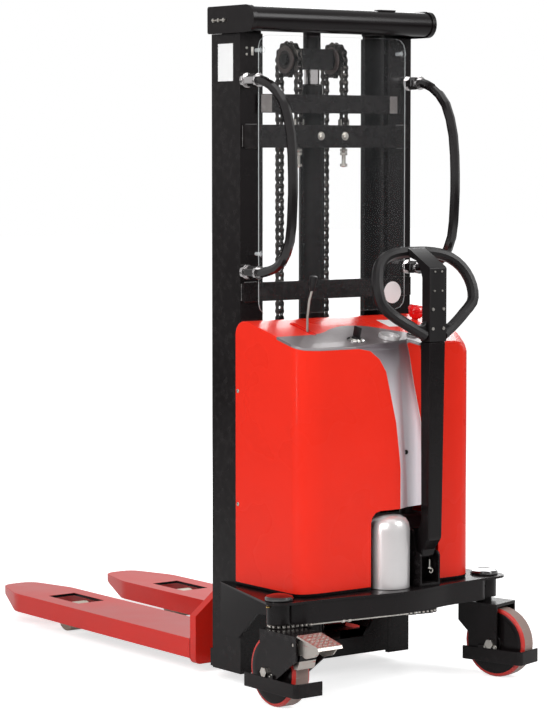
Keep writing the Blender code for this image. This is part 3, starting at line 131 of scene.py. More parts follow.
def newGroup(name, floats, outputs):
    # every group takes a vector and some floats, and gives floats
    tree = bpy.data.node_groups.new(name, "ShaderNodeTree")
    tree.interface.new_socket("Vector", in_out="INPUT", socket_type="NodeSocketVector")
    for label, default in floats.items():
        socket = tree.interface.new_socket(label, in_out="INPUT", socket_type="NodeSocketFloat")
        socket.default_value = default
    for label in outputs:
        tree.interface.new_socket(label, in_out="OUTPUT", socket_type="NodeSocketFloat")
    return tree, tree.nodes.new("NodeGroupInput").outputs, tree.nodes.new("NodeGroupOutput")


def newMaterial(name):
    made = bpy.data.materials.new(name)
    made.use_nodes = True
    return made, made.node_tree, made.node_tree.nodes["Principled BSDF"]


grainValues = dict(inputs={"Scale": 900.0, "Drift Scale": 6.0}, detail=3.0, driftDetail=2.0)


def buildGrainGroup():
    # fine pebble of powder coat or moulded plastic: a height, and a slow tone drift
    values = grainValues
    tree, given, sink = newGroup("fineGrain", values["inputs"], ["Height", "Drift"])
    grain = addNoise(tree, given["Vector"], given["Scale"], values["detail"])
    drift = addNoise(tree, given["Vector"], given["Drift Scale"], values["driftDetail"])
    feed(tree, sink, {"Height": grain, "Drift": drift})
    return tree


wearValues = dict(inputs={"Amount": 0.3, "Break Up": 60.0}, detail=4.0, crease=(0.53, 0.62),
                  spots=(0.45, 0.65))


def buildWearGroup():
    # bare edges: convex creases, broken up by noise
    values = wearValues
    tree, given, sink = newGroup("edgeWear", values["inputs"], ["Mask"])
    shape = tree.nodes.new("ShaderNodeNewGeometry")
    crease = addRange(tree, shape.outputs["Pointiness"], values["crease"])
    noise = addNoise(tree, given["Vector"], given["Break Up"], values["detail"])
    both = addMath(tree, "MULTIPLY", crease, addRange(tree, noise, values["spots"]))
    feed(tree, sink, {"Mask": addMath(tree, "MULTIPLY", both, given["Amount"], clamp=True)})
    return tree


scuffValues = dict(inputs={"Scale": 20.0, "Amount": 0.3}, detail=5.0, roughness=0.7, lines=(0.6, 0.75),
                   stretch=(1.0, 1.0, 14.0), turn=(0.5, 0.9, 0.3))


def buildScuffGroup():
    # long faint scratches and rubbed patches
    values = scuffValues
    tree, given, sink = newGroup("scuffs", values["inputs"], ["Mask"])
    stretch = tree.nodes.new("ShaderNodeMapping")
    feed(tree, stretch, {"Vector": given["Vector"], "Scale": values["stretch"], "Rotation": values["turn"]})
    noise = addNoise(tree, stretch.outputs["Vector"], given["Scale"], values["detail"], values["roughness"])
    lines = addRange(tree, noise, values["lines"])
    feed(tree, sink, {"Mask": addMath(tree, "MULTIPLY", lines, given["Amount"], clamp=True)})
    return tree


grainGroup = buildGrainGroup()
wearGroup = buildWearGroup()
scuffGroup = buildScuffGroup()

# what a finish has where its own line says nothing else
plainFinish = dict(metallic=0.0, specular=0.5, coat=0.0, coatRoughness=0.06, spread=0.05, grain=500,
                   bump=0.01, wear=0.1, scuff=0.05, drift=0.05)
finishes = {
    "blackPaint": dict(colour=(0.006, 0.0045, 0.0048), worn=(0.06, 0.055, 0.055), roughness=0.25,
                       spread=0.07, specular=0.16, grain=700, bump=0.04, wear=0.25, drift=0.25),
    "forkRed": dict(colour=(0.66, 0.018, 0.01), worn=(0.42, 0.04, 0.03), roughness=0.34, spread=0.1,
                    specular=0.25, coat=0.15, grain=600, bump=0.04, wear=0.5, scuff=0.25, drift=0.12),
    "coverRed": dict(colour=(0.8, 0.026, 0.012), worn=(0.9, 0.1, 0.07), roughness=0.28, specular=0.08,
                     coat=0.13, coatRoughness=0.03, grain=260, bump=0.012, wear=0.05, scuff=0.0),
    "consoleGrey": dict(colour=(0.15, 0.126, 0.13), worn=(0.4, 0.4, 0.4), roughness=0.34, spread=0.06,
                        metallic=0.1, specular=0.2, coat=0.1, coatRoughness=0.02, grain=900, bump=0.02,
                        drift=0.08),
    # painted light: the strip's lit facet, a lighter copy of the strip's grey; its low colour is a painted
    # reflection, whiter towards the bottom
    "stripSilver": dict(colour=(0.2, 0.175, 0.18), low=(0.95, 0.94, 0.95), worn=(0.6, 0.6, 0.6),
                        roughness=0.3, coat=0.2, grain=900, scuff=0.03),
    # painted shade: the strip's shaded facet, a darker copy of the same grey, with the same painted
    # reflection lower down
    "stripShade": dict(colour=(0.11, 0.09, 0.1), low=(0.8, 0.77, 0.82), worn=(0.4, 0.4, 0.4),
                       roughness=0.3, coat=0.2, grain=900, scuff=0.03),
    "hoodSilver": dict(colour=(0.62, 0.6, 0.6), worn=(0.3, 0.3, 0.3), roughness=0.3, spread=0.08,
                       metallic=0.45, coat=0.3, grain=900, bump=0.02, wear=0.15, scuff=0.06, drift=0.08),
    "zinc": dict(colour=(0.42, 0.4, 0.37), worn=(0.8, 0.78, 0.74), roughness=0.32, spread=0.2, metallic=1.0,
                 bump=0.06, wear=0.4, scuff=0.3, drift=0.3),
    "chrome": dict(colour=(0.5, 0.48, 0.48), worn=(0.6, 0.6, 0.6), roughness=0.08, spread=0.06,
                   metallic=1.0, scuff=0.1),
    "chainSteel": dict(colour=(0.03, 0.025, 0.024), worn=(0.22, 0.2, 0.18), roughness=0.38, spread=0.2,
                       metallic=0.8, grain=600, bump=0.06, wear=0.5, scuff=0.2, drift=0.4),
    "blackPlastic": dict(colour=(0.0065, 0.0055, 0.0058), worn=(0.04, 0.04, 0.04), roughness=0.36,
                         spread=0.08, specular=0.25, grain=1100, bump=0.08, wear=0.2, scuff=0.08,
                         drift=0.2),
    "treadRed": dict(colour=(0.5, 0.018, 0.012), worn=(0.55, 0.1, 0.08), roughness=0.42, spread=0.12,
                     coat=0.1, bump=0.05, wear=0.3, scuff=0.3, drift=0.2),
    "rollerBeige": dict(colour=(0.56, 0.47, 0.38), worn=(0.7, 0.64, 0.55), roughness=0.45, spread=0.1,
                        bump=0.04, wear=0.2, scuff=0.2, drift=0.15),
    "stopRed": dict(colour=(0.75, 0.01, 0.012), worn=(0.8, 0.1, 0.1), roughness=0.2, coat=0.5, grain=600),
    "batteryGrey": dict(colour=(0.05, 0.05, 0.055), worn=(0.1, 0.1, 0.1), roughness=0.5, spread=0.1,
                        grain=600, bump=0.05, wear=0.2, scuff=0.1, drift=0.2),
    "brass": dict(colour=(0.62, 0.42, 0.14), worn=(0.8, 0.6, 0.3), roughness=0.25, spread=0.1, metallic=1.0,
                  bump=0.02, wear=0.2, scuff=0.1, drift=0.1),
    "glossBlack": dict(colour=(0.006, 0.0045, 0.0048), worn=(0.06, 0.055, 0.055), roughness=0.1,
                       spread=0.04, coat=0.8, bump=0.02, wear=0.2, drift=0.25),
    "handleBlack": dict(colour=(0.006, 0.0045, 0.0048), worn=(0.05, 0.05, 0.05), roughness=0.15,
                        spread=0.03, specular=0.45, grain=700, bump=0.02, drift=0.2),
    "flangeBrown": dict(colour=(0.075, 0.052, 0.048), worn=(0.2, 0.17, 0.16), roughness=0.4, spread=0.12,
                        metallic=0.2, bump=0.05, wear=0.3, scuff=0.4, drift=0.3),
    "weldBlack": dict(colour=(0.01, 0.008, 0.008), worn=(0.2, 0.18, 0.17), roughness=0.3, spread=0.1,
                      coat=0.3, grain=400, bump=0.12, wear=0.6, scuff=0.1, drift=0.3),
    "wornSteel": dict(colour=(0.16, 0.145, 0.14), worn=(0.3, 0.28, 0.27), roughness=0.36, spread=0.15,
                      metallic=0.6, bump=0.05, wear=0.3, scuff=0.4, drift=0.4),
    "pedalZinc": dict(colour=(0.4, 0.37, 0.34), worn=(0.42, 0.06, 0.05), roughness=0.34, spread=0.15,
                      metallic=0.9, grain=400, bump=0.12, scuff=1.2, drift=0.35),
    "lipRed": dict(colour=(0.62, 0.008, 0.008), worn=(0.7, 0.1, 0.1), roughness=0.25, coat=0.4, grain=600,
                   wear=0.0, scuff=0.0),
    "treadFace": dict(colour=(0.27, 0.19, 0.165), worn=(0.55, 0.45, 0.42), roughness=0.5, spread=0.12,
                      grain=300, bump=0.08, wear=0.3, scuff=0.6, drift=0.25),
    "labelWhite": dict(colour=(0.82, 0.82, 0.82), worn=(0.6, 0.6, 0.6), roughness=0.35, coat=0.3, grain=800,
                       wear=0.0, drift=0.04),
}
bumpDepth = 0.0004
leastRoughness = 0.02
paintedReflectionFade = (0.9, 0.68)  # heights between which a finish turns to its low colour, a painted reflection that lightens it towards the bottom


def buildFinish(name, given):
    values = {**plainFinish, **given}
    made, tree, shader = newMaterial(name)
    where = tree.nodes.new("ShaderNodeTexCoord").outputs["Object"]
    grain = addGroup(tree, grainGroup, {"Vector": where, "Scale": values["grain"]})
    wear = addGroup(tree, wearGroup, {"Vector": where, "Amount": values["wear"]})
    scuff = addGroup(tree, scuffGroup, {"Vector": where, "Amount": values["scuff"]})
    drift = grain.outputs["Drift"]
    darker = (*[c * (1 - values["drift"]) for c in values["colour"]], 1)
    lighter = (*[min(1.0, c * (1 + values["drift"])) for c in values["colour"]], 1)
    tone = addMix(tree, drift, darker, lighter)
    # painted reflection: a finish with a low colour turns to it towards the bottom
    if "low" in values:
        paintedReflectionShare = addRange(tree, addSplit(tree, where, "Z"), paintedReflectionFade, smooth=True)
        tone = addMix(tree, paintedReflectionShare, tone, (*values["low"], 1))
    bare = addMath(tree, "MAXIMUM", wear.outputs["Mask"], scuff.outputs["Mask"])
    smoothest = max(leastRoughness, values["roughness"] - values["spread"])
    roughest = values["roughness"] + values["spread"]
    bump = feed(tree, tree.nodes.new("ShaderNodeBump"),
                {"Strength": values["bump"], "Distance": bumpDepth, "Height": grain.outputs["Height"]})
    feed(tree, shader, {"Base Color": addMix(tree, bare, tone, (*values["worn"], 1)),
                        "Metallic": values["metallic"], "Specular IOR Level": values["specular"],
                        "Coat Weight": values["coat"], "Coat Roughness": values["coatRoughness"],
                        "Roughness": addRange(tree, drift, toValues=(smoothest, roughest)),
                        "Normal": bump.outputs["Normal"]})
    return made


finish = {name: buildFinish(name, values) for name, values in finishes.items()}

acrylicValues = dict(colour=(0.8, 0.84, 0.85), alpha=(0.5, 0.01), facing=(0.3, 0.95),
                     roughness=(0.025, 0.075), driftScale=3.0)


def buildAcrylic():
    # nearly clear on its two faces, pale along its cut edges
    values = acrylicValues
    made, tree, shader = newMaterial("clearAcrylic")
    shape = tree.nodes.new("ShaderNodeNewGeometry")
    facing = addMath(tree, "ABSOLUTE", addSplit(tree, shape.outputs["Normal"], "Y"))
    where = tree.nodes.new("ShaderNodeTexCoord").outputs["Object"]
    grain = addGroup(tree, grainGroup, {"Vector": where, "Drift Scale": values["driftScale"]})
    feed(tree, shader, {"Base Color": (*values["colour"], 1),
                        "Alpha": addRange(tree, facing, values["facing"], values["alpha"]),
                        "Roughness": addRange(tree, grain.outputs["Drift"], toValues=values["roughness"])})
    return made


finish["clearAcrylic"] = buildAcrylic()
# the CAD material name that goes with each finish: its own name, apart from these
slotOf = {name: "".join("_" + c.lower() if c.isupper() else c for c in name) for name in finish}
slotOf.update(stripSilver="console_grey", stripShade="console_grey", glossBlack="black_paint",
              weldBlack="black_paint", handleBlack="black_plastic", flangeBrown="chain_steel",
              labelWhite="hood_silver", brass="zinc", wornSteel="zinc", pedalZinc="zinc",
              treadFace="tread_red", lipRed="stop_red")
print("finishes ready")


# making pieces

def smoothShade(mesh, angle=35):
    mesh.shade_smooth()
    mesh.set_sharp_from_angle(angle=math.radians(angle))


def addObject(name, data):
    made = bpy.data.objects.new(name, data)
    bpy.context.scene.collection.objects.link(made)
    return made


def addMesh(name, work, material):
    mesh = bpy.data.meshes.new(name)
    work.to_mesh(mesh)
    work.free()
    mesh.materials.append(material)
    return addObject(name, mesh)


def meshPiece(name, work, paint, body, angle=35):
    made = addMesh(name, work, finish[paint])
    smoothShade(made.data, angle)
    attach(made, body)
    return made


def frameOn(normal):
    return Vector((0, 0, 1)).rotation_difference(Vector(normal)).to_matrix().to_4x4()


def joinRings(work, rings):
    # walls between neighbouring rings of corners, and a cap at both ends
    sides = len(rings[0])
    for low, high in zip(rings, rings[1:]):
        for i in range(sides):
            j = (i + 1) % sides
            work.faces.new((low[i], low[j], high[j], high[i]))
    work.faces.new(list(reversed(rings[0])))
    work.faces.new(rings[-1])


def addTurned(work, profile, centre, normal, sides=20, spin=0.0):
    # rings of (radius, height) about the normal
    place = Matrix.Translation(centre) @ frameOn(normal)
    turns = [spin + math.tau * i / sides for i in range(sides)]
    joinRings(work, [[work.verts.new(place @ Vector((radius * math.cos(t), radius * math.sin(t), height)))
                      for t in turns] for radius, height in profile])


def addBolt(work, centre, normal, head=0.0075, tall=0.006, washer=0.0108):
    under, seat = -0.0004, 0.0016  # the washer's hidden foot and its top
    addTurned(work, [(washer, under), (washer, 0.0011), (washer - 0.0006, seat)], centre, normal, 24)
    addTurned(work, [(head, seat), (head, tall), (head * 0.86, tall + 0.0012)], centre, normal, 6, 0.4)
    addTurned(work, [(head * 0.5, tall), (head * 0.5, tall + 0.0016), (head * 0.4, tall + 0.0022)],
              centre, normal, 14)


def addScrew(work, centre, normal, radius, tall):
    # a domed head with a dished socket
    shares = ((0.93, 0.62), (0.72, 0.86), (0.42, 1.0), (0.4, 0.45))
    profile = [(radius, -0.0004), (radius, tall * 0.35)] + [(radius * r, tall * h) for r, h in shares]
    addTurned(work, profile, centre, normal, 18)


def addNut(work, centre, normal, radius, half, lip=0.0004, lead=0.0007, sides=6, spin=0.0):
    # a nut or collar, its rims broken by lip across and lead along
    addTurned(work, [(radius - lip, -half), (radius, lead - half), (radius, half - lead),
                     (radius - lip, half)], centre, normal, sides, spin)


def addTube(work, points, radii, sides=10):
    # a round bar along the points, of one radius or one at each point
    points = [Vector(p) for p in points]
    if not isinstance(radii, list):
        radii = [radii] * len(points)
    heading = (points[1] - points[0]).normalized()
    across = heading.orthogonal().normalized()
    turns = [math.tau * k / sides for k in range(sides)]
    rings = []
    for i, point in enumerate(points):
        ahead = points[min(i + 1, len(points) - 1)] - points[max(i - 1, 0)]
        turn = heading.rotation_difference(ahead.normalized())
        heading = ahead.normalized()
        across = (turn @ across).normalized()
        other = heading.cross(across)
        rings.append([work.verts.new(point + (across * math.cos(t) + other * math.sin(t)) * radii[i])
                      for t in turns])
    joinRings(work, rings)


def addBead(work, start, end, radius=0.0022):
    # a weld bead: a bar whose ripples follow one another closely
    ripple, ripplePoints = 0.0042, 4
    start = Vector(start)
    end = Vector(end)
    steps = max(3, int((end - start).length / ripple * ripplePoints))
    points = [start.lerp(end, i / steps) for i in range(steps + 1)]
    radii = [radius * (0.8 + 0.28 * abs(math.sin(math.pi * i / ripplePoints))) for i in range(steps + 1)]
    radii[0] = radii[-1] = radius * 0.45
    addTube(work, points, radii, 8)


def addPlate(work, corners, normal, thick):
    # a thin flat plate standing on the corners
    normal = Vector(normal).normalized()
    near = [work.verts.new(Vector(c)) for c in corners]
    far = [work.verts.new(Vector(c) + normal * thick) for c in corners]
    count = len(corners)
    work.faces.new(near)
    work.faces.new(far)
    for i in range(count):
        j = (i + 1) % count
        work.faces.new((near[i], near[j], far[j], far[i]))
    bmesh.ops.recalc_face_normals(work, faces=work.faces)


def rectangle(low, high):
    # four corners from two opposite ones that share one coordinate
    first, second = [axis for axis in range(3) if low[axis] != high[axis]]
    right, left = list(low), list(low)
    right[first] = high[first]
    left[second] = high[second]
    return [at(*low), at(*right), at(*high), at(*left)]


def paintWhere(made, paint, test):
    # another finish on the faces whose middle passes the test, in the mast's coordinates
    made.data.materials.append(finish[paint])
    slot = len(made.data.materials) - 1
    for face in made.data.polygons:
        if test(face.center - mastShift, face.normal):
            face.material_index = slot


def camel(name):
    first, *rest = name.split("_")
    return first + "".join(word.capitalize() for word in rest)


# skins over the CAD pieces

topValues = dict(slope=math.radians(14.1), high=0.936, highY=-0.029)  # the cover's sloping top
topNormal = Vector((0, -math.sin(topValues["slope"]), math.cos(topValues["slope"])))


def topHeight(y):
    return topValues["high"] - math.tan(topValues["slope"]) * (topValues["highY"] - y)


def onTop(x, y, rise=0.0):
    return at(x, y, topHeight(y) + rise)


def aboveTop(p):
    # how far a point stands off the sloping top
    return (p.z - topHeight(p.y)) * topNormal.z


shoulder = dict(radius=0.042, outer=0.3592, wall=0.0035, steps=8, across=Vector((0.8, -0.6, 0.0)))


def cutFaces(work, faces, point, normal):
    every = list({v for f in faces for v in f.verts}) + list({e for f in faces for e in f.edges}) + faces
    bmesh.ops.bisect_plane(work, geom=every, plane_co=point, plane_no=normal)


def roundShoulder(work):
    # the cover's front right top corner is a well rounded shoulder: cut it finely, then draw it onto an arc
    radius, across = shoulder["radius"], shoulder["across"]
    middle = shoulder["outer"] - radius
    for i in range(1, shoulder["steps"]):
        turn = math.pi / 2 * i / shoulder["steps"]
        upright = across * (middle + radius * math.sin(turn)) + mastShift
        sloping = at(0, 0, topHeight(0) - radius * (1 - math.cos(turn)))
        for point, normal in ((upright, across), (sloping, topNormal)):
            near = [f for f in work.faces if max((v.co - mastShift).dot(across) for v in f.verts) > middle]
            cutFaces(work, near, point, normal)
    for vert in work.verts:
        p = vert.co - mastShift
        out = p.dot(across) - middle
        rise = p.z - topHeight(p.y) + radius
        if out <= 0 or rise <= 0:
            continue
        inside = max(out, rise) < radius - shoulder["wall"] * 0.6
        limit = radius - shoulder["wall"] if inside else radius
        reach = math.hypot(out, rise)
        if reach > limit:
            moved = p + across * out * (limit / reach - 1)
            moved.z = topHeight(moved.y) - radius + rise * limit / reach
            vert.co = moved + mastShift


sealTop = 0.2705  # a black seal strip runs round the cover below this height
padLow, padHigh, padFront = 0.131, 0.147, -0.372  # the brake shoe's black band
consoleEnd, consoleCorner = 0.226, -0.232  # right of this the console is red like the cover
slantNormal = Vector((0.5, -0.87, 0))
skinValues = dict(weld=0.00002, flat=0.4, crease=33, edge=0.0012, segments=2)
edgeOf = {"power_cover": 0, "console_panel": 0, "guard_screen": 0.0006, "sprocket_left": 0.0004,
          "sprocket_right": 0.0004, "tiller_head": 0.001, "key_switch": 0.0005, "battery_gauge": 0.0004,
          "emergency_stop": 0.0005, "lift_lever": 0.0003, "outer_mast": 0.0022, "inner_mast": 0.0018,
          "grab_handle_left": 0, "grab_handle_right": 0}
cutsOf = {"power_cover": [((0, 0, sealTop), (0, 0, 1))],
          "brake_pedal": [((0, 0, padLow), (0, 0, 1)), ((0, 0, padHigh), (0, 0, 1))],
          "console_panel": [(at(consoleEnd, 0, 0), (1, 0, 0)),
                            (at(consoleEnd, consoleCorner, 0), slantNormal)]}
roundedNodes = ("power_cover", "console_panel")


def skin(node, paint):
    # the CAD piece's own form, welded, with its edges broken
    size = skinValues
    work = bmesh.new()
    work.from_mesh(cadNodes[node].data)
    bmesh.ops.remove_doubles(work, verts=work.verts, dist=size["weld"])
    flat = math.radians(size["flat"])
    bmesh.ops.dissolve_limit(work, angle_limit=flat, verts=work.verts, edges=work.edges)
    for point, normal in cutsOf.get(node, ()):
        cutFaces(work, list(work.faces), point, normal)
    if node in roundedNodes:
        roundShoulder(work)
    made = meshPiece(camel(node) + "Skin", work, paint, cadNodes[node]["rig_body"])
    custom = made.data.attributes.get("custom_normal")
    if custom:
        made.data.attributes.remove(custom)
        smoothShade(made.data, size["crease"])
    edge = edgeOf.get(node, size["edge"])
    if edge > 0:
        bevel = made.modifiers.new("edges", "BEVEL")
        bevel.width = edge
        bevel.segments = size["segments"]
        bevel.limit_method = "ANGLE"
        bevel.angle_limit = math.radians(size["crease"])
        bevel.harden_normals = True
    if node in roundedNodes:
        weighted = made.modifiers.new("evenNormals", "WEIGHTED_NORMAL")
        weighted.keep_sharp = True
    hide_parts(node)
    return made


def pair(name):
    return [name + "_left", name + "_right"]


paintOf = {
    "blackPaint": ["outer_mast", "lift_cylinder_barrel", "cylinder_gland", "inner_mast", "sprocket_bar",
                   *pair("support_leg"), "fork_carriage", "base_frame", "steer_fork", "caster_fork",
                   *pair("wheel_hub"), *pair("foot_guard"), "tiller_bracket", "tiller_arm"],
    "handleBlack": pair("grab_handle"),
    "forkRed": pair("fork"),
    "coverRed": ["power_cover"],
    "consoleGrey": ["console_panel"],
    "hoodSilver": ["motor_hood", "battery_gauge"],
    "zinc": [*pair("lower_carriage_roller"), *pair("upper_carriage_roller"), *pair("mast_roller"),
             "lift_lever"],
    "pedalZinc": ["brake_pedal"],
    "chrome": ["piston_rod", *pair("lower_handle_fitting"), *pair("upper_handle_fitting")],
    "chainSteel": pair("sprocket"),
    "blackPlastic": ["key_switch", "charging_socket", "tiller_head"],
    "treadRed": pair("wheel_tread"),
    "rollerBeige": pair("load_roller"),
    "stopRed": ["emergency_stop"],
    "batteryGrey": ["battery", "pump_unit"],
    "clearAcrylic": ["guard_screen"],
}
skins = {node: skin(node, paint) for paint, names in paintOf.items() for node in names}


# second finishes on parts of the skins

wheelValues = dict(x=0.334, kingpinY=-0.238, axleZ=0.09, trail=0.049, casterTurn=math.radians(16.0),
                   cheekHalf=0.0462, capBase=0.2638)
casterPin = Vector((wheelValues["x"], wheelValues["kingpinY"], 0))
casterAxis = Vector((math.cos(wheelValues["casterTurn"]), math.sin(wheelValues["casterTurn"]), 0))
foldY = -0.241  # the crease down the middle of the front channel
stripBack = -0.225
deckTop = 0.262
forkWindow = dict(x=0.18, half=0.0885, near=0.8, far=1.06, low=0.045, high=0.088)


def markFold(mesh):
    for edge in mesh.edges:
        ends = [mesh.vertices[i].co - mastShift for i in edge.vertices]
        if all(abs(p.y - foldY) < 0.0006 for p in ends) and abs(ends[0].z - ends[1].z) > 0.004:
            edge.use_edge_sharp = True


def onStrip(p, n):
    return abs(n.z) < 0.8 and p.y < stripBack


def redEnd(p, n):
    # the console right of its end and of the slanted cut beside it
    slanted = p.x > 0.17 and (p - Vector((consoleEnd, consoleCorner, p.z))).dot(slantNormal) > 0
    return p.z > 0.8 and (p.x > consoleEnd or slanted)


def forkHollowShade(side):
    # painted shade: the window's edges and the hollow under the blade are painted black, where shade falls
    size = forkWindow
    return lambda p, n: (abs(p.x - side * size["x"]) < size["half"] and size["near"] < p.y < size["far"]
                         and size["low"] < p.z < size["high"] and n.z < 0.3)


markFold(skins["console_panel"].data)
# painted light and painted shade: the channel's two facets get a lit and a shaded copy of the strip's grey
paintWhere(skins["console_panel"], "stripSilver", lambda p, n: onStrip(p, n) and n.x <= 0)
paintWhere(skins["console_panel"], "stripShade", lambda p, n: onStrip(p, n) and n.x > 0)
paintWhere(skins["base_frame"], "glossBlack", lambda p, n: n.z > 0.9 and p.z > deckTop)
paintWhere(skins["console_panel"], "coverRed", redEnd)
paintWhere(skins["power_cover"], "blackPaint", lambda p, n: p.z < sealTop)
for node in ("steer_fork", "caster_fork"):
    paintWhere(skins[node], "glossBlack", lambda p, n: p.z > wheelValues["capBase"])
paintWhere(skins["brake_pedal"], "blackPaint", lambda p, n: padLow < p.z < padHigh and p.y > padFront)
# painted shade in each fork's window and under its blade
for side, word in ((-1, "left"), (1, "right")):
    paintWhere(skins["fork_" + word], "blackPaint", forkHollowShade(side))
paintWhere(skins["lift_lever"], "blackPlastic", lambda p, n: p.z > 1.0118)  # its grip
paintWhere(skins["key_switch"], "zinc", lambda p, n: aboveTop(p) < 0.007)  # the barrel under the key
paintWhere(skins["charging_socket"], "hoodSilver", lambda p, n: 0.0 < aboveTop(p) < 0.0025)  # its flange
paintWhere(skins["tiller_head"], "zinc", lambda p, n: p.y < -0.3272)  # the screws on the head's face
paintWhere(skins["steer_fork"], "zinc", lambda p, n: abs(p.x + wheelValues["x"]) > wheelValues["cheekHalf"])
paintWhere(skins["caster_fork"], "zinc",
           lambda p, n: abs((p - casterPin).dot(casterAxis)) > wheelValues["cheekHalf"])
for word, axis in (("left", Vector((1, 0, 0))), ("right", casterAxis)):
    paintWhere(skins["wheel_tread_" + word], "treadFace", lambda p, n: abs(n.dot(axis)) < 0.35)
print("frame pieces skinned")


# roller chains over the two sprockets

chainValues = dict(
    pitch=0.01905, rollerRadius=0.0058, pinRadius=0.0029, plateHalf=0.0082, plateThick=0.0016,
    innerHalf=0.006, outerHalf=0.0079, x=0.074, wheelY=0.066, wheelZ=1.594, wheelRadius=0.0398,
    wrapPins=7, squashed=0.03, front=(0.1058, 0.362), rear=(0.0262, 1.4195))  # a strand's y and lower end


def addLinkPlate(work, start, end, normal, offset, half, thick):
    # a waisted link plate between two pins, square to the pins' direction
    along = (end - start).normalized()
    across = normal.cross(along)
    middle = (start + end) / 2
    arc = [math.pi * i / 8 for i in range(9)]
    outline = [end + along * math.sin(t) * half + across * math.cos(t) * half for t in arc]
    outline.append(middle - across * half * 0.72)
    outline += [start - along * math.sin(t) * half - across * math.cos(t) * half for t in arc]
    outline.append(middle + across * half * 0.72)
    near = [work.verts.new(p + normal * (offset - thick / 2)) for p in outline]
    far = [work.verts.new(p + normal * (offset + thick / 2)) for p in outline]
    count = len(outline)
    work.faces.new(near)
    work.faces.new(list(reversed(far)))
    for i in range(count):
        work.faces.new((near[(i + 1) % count], near[i], far[i], far[(i + 1) % count]))


def chainRun(name, pins, normal, body, size, startInner=True, rollerPaint=None):
    # rollers of another finish become a piece of their own
    work = bmesh.new()
    rollers = bmesh.new() if rollerPaint else work
    barrel = size["innerHalf"] - size["plateThick"] / 2
    stub = size["outerHalf"] + size["plateThick"] * 1.1
    pinRadius, rollerRadius = size["pinRadius"], size["rollerRadius"]
    for index, pin in enumerate(pins):
        addTurned(rollers, [(rollerRadius, -barrel), (rollerRadius, barrel)], pin, normal, 12)
        addTurned(work, [(pinRadius * 0.8, -stub), (pinRadius, -stub * 0.93), (pinRadius, stub * 0.93),
                         (pinRadius * 0.8, stub)], pin, normal, 8)
        if index + 1 < len(pins):
            inner = (index % 2 == 0) == startInner
            offset = size["innerHalf"] if inner else size["outerHalf"]
            for face in (-1, 1):
                addLinkPlate(work, pin, pins[index + 1], normal, face * offset, size["plateHalf"],
                             size["plateThick"])
    bmesh.ops.recalc_face_normals(work, faces=work.faces)
    if rollerPaint:
        meshPiece(name + "Rollers", rollers, rollerPaint, body)
    return meshPiece(name, work, "chainSteel", body)


def buildLiftChains():
    size = chainValues
    pitch, top, reach = size["pitch"], size["wheelZ"], size["wheelRadius"]
    axle = Vector((1, 0, 0))
    for side, word in ((-1, "Left"), (1, "Right")):
        x = side * size["x"]
        front, rear = [[at(x, y, top - i * pitch) for i in range(int((top - bottom) / pitch) + 1)]
                       for y, bottom in (size["front"], size["rear"])]
        turns = [math.pi * i / (size["wrapPins"] - 1) for i in range(size["wrapPins"])]
        wrap = [at(x, size["wheelY"] + reach * math.cos(t), top + reach * math.sin(t)) for t in turns]
        strand = chainRun("carriageChain" + word, front, axle, "lifting_mast", size)
        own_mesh(strand)
        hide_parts("carriage_chain_" + word.lower())
        loop = chainRun("chainWrap" + word, wrap, axle, "lifting_mast", size, startInner=False)
        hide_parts("chain_wrap_" + word.lower())
        tail = chainRun("anchorChain" + word, rear, axle, "lifting_mast", size)
        tail.parent = None
        del tail["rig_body"]
        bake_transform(tail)
        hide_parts("anchor_chain_" + word.lower())


buildLiftChains()
print("lift chains built")


# steering chain and its two rods

steeringValues = dict(
    pitch=0.0127, rollerRadius=0.0042, pinRadius=0.002, plateHalf=0.0044, plateThick=0.0012,
    innerHalf=0.0028, outerHalf=0.0041, z=0.1996, wrapRadius=0.0259, reach=0.074, tiller=(0.098, -0.28),
    rodRadius=0.003, rodStart=0.07, nutRadius=0.0056, nutHalf=0.0045, nutShares=(0.34, 0.4))


def buildSteeringChain():
    size = steeringValues
    ends = [at(-wheelValues["x"], wheelValues["kingpinY"], size["z"]), at(*size["tiller"], size["z"])]
    along = (ends[1] - ends[0]).normalized()
    across = Vector((-along.y, along.x, 0))
    straight, radius = size["reach"], size["wrapRadius"]
    arc = math.pi * radius
    count = round((2 * straight + arc) / size["pitch"])
    for word, end, reach in (("Left", ends[0], along), ("Right", ends[1], -along)):
        side = Vector((-reach.y, reach.x, 0))
        pins = []
        for i in range(count + 1):
            run = (2 * straight + arc) * i / count
            if run < straight:
                pins.append(end + reach * (straight - run) + side * radius)
            elif run < straight + arc:
                turn = (run - straight) / radius
                pins.append(end + side * math.cos(turn) * radius - reach * math.sin(turn) * radius)
            else:
                pins.append(end + reach * (run - straight - arc) - side * radius)
        up = Vector((0, 0, 1))
        loop = chainRun("steeringChain" + word, pins, up, "chassis", size, rollerPaint="zinc")
        if word == "Left":
            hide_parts("steering_chain")
    work = bmesh.new()
    for face in (-1, 1):
        offset = across * face * radius
        start = ends[0] + along * size["rodStart"] + offset
        stop = ends[1] - along * size["rodStart"] + offset
        addTube(work, [start, stop], size["rodRadius"], 12)
        for share in size["nutShares"]:
            addNut(work, start.lerp(stop, share), along, size["nutRadius"], size["nutHalf"], 0.0006)
    meshPiece("steeringRods", work, "zinc", "chassis")


buildSteeringChain()


# lever slot, wheels, pedal and tiller

slotValues = dict(x=-0.166, ends=(-0.072, -0.155), reach=0.0074, rise=0.0006, lipRadius=0.0011)


def buildLeverSlot():
    # a raised bright lip round the lever's slot, on the sloping top
    size = slotValues
    outline = []
    for centre, start in zip(size["ends"], (0.0, math.pi)):
        for i in range(9):
            turn = start + math.pi * i / 8
            x = size["x"] + math.cos(turn) * size["reach"]
            outline.append(onTop(x, centre + math.sin(turn) * size["reach"], size["rise"]))
    work = bmesh.new()
    addTube(work, outline + outline[:2], size["lipRadius"], 8)
    meshPiece("slotLip", work, "lipRed", "chassis", 60)


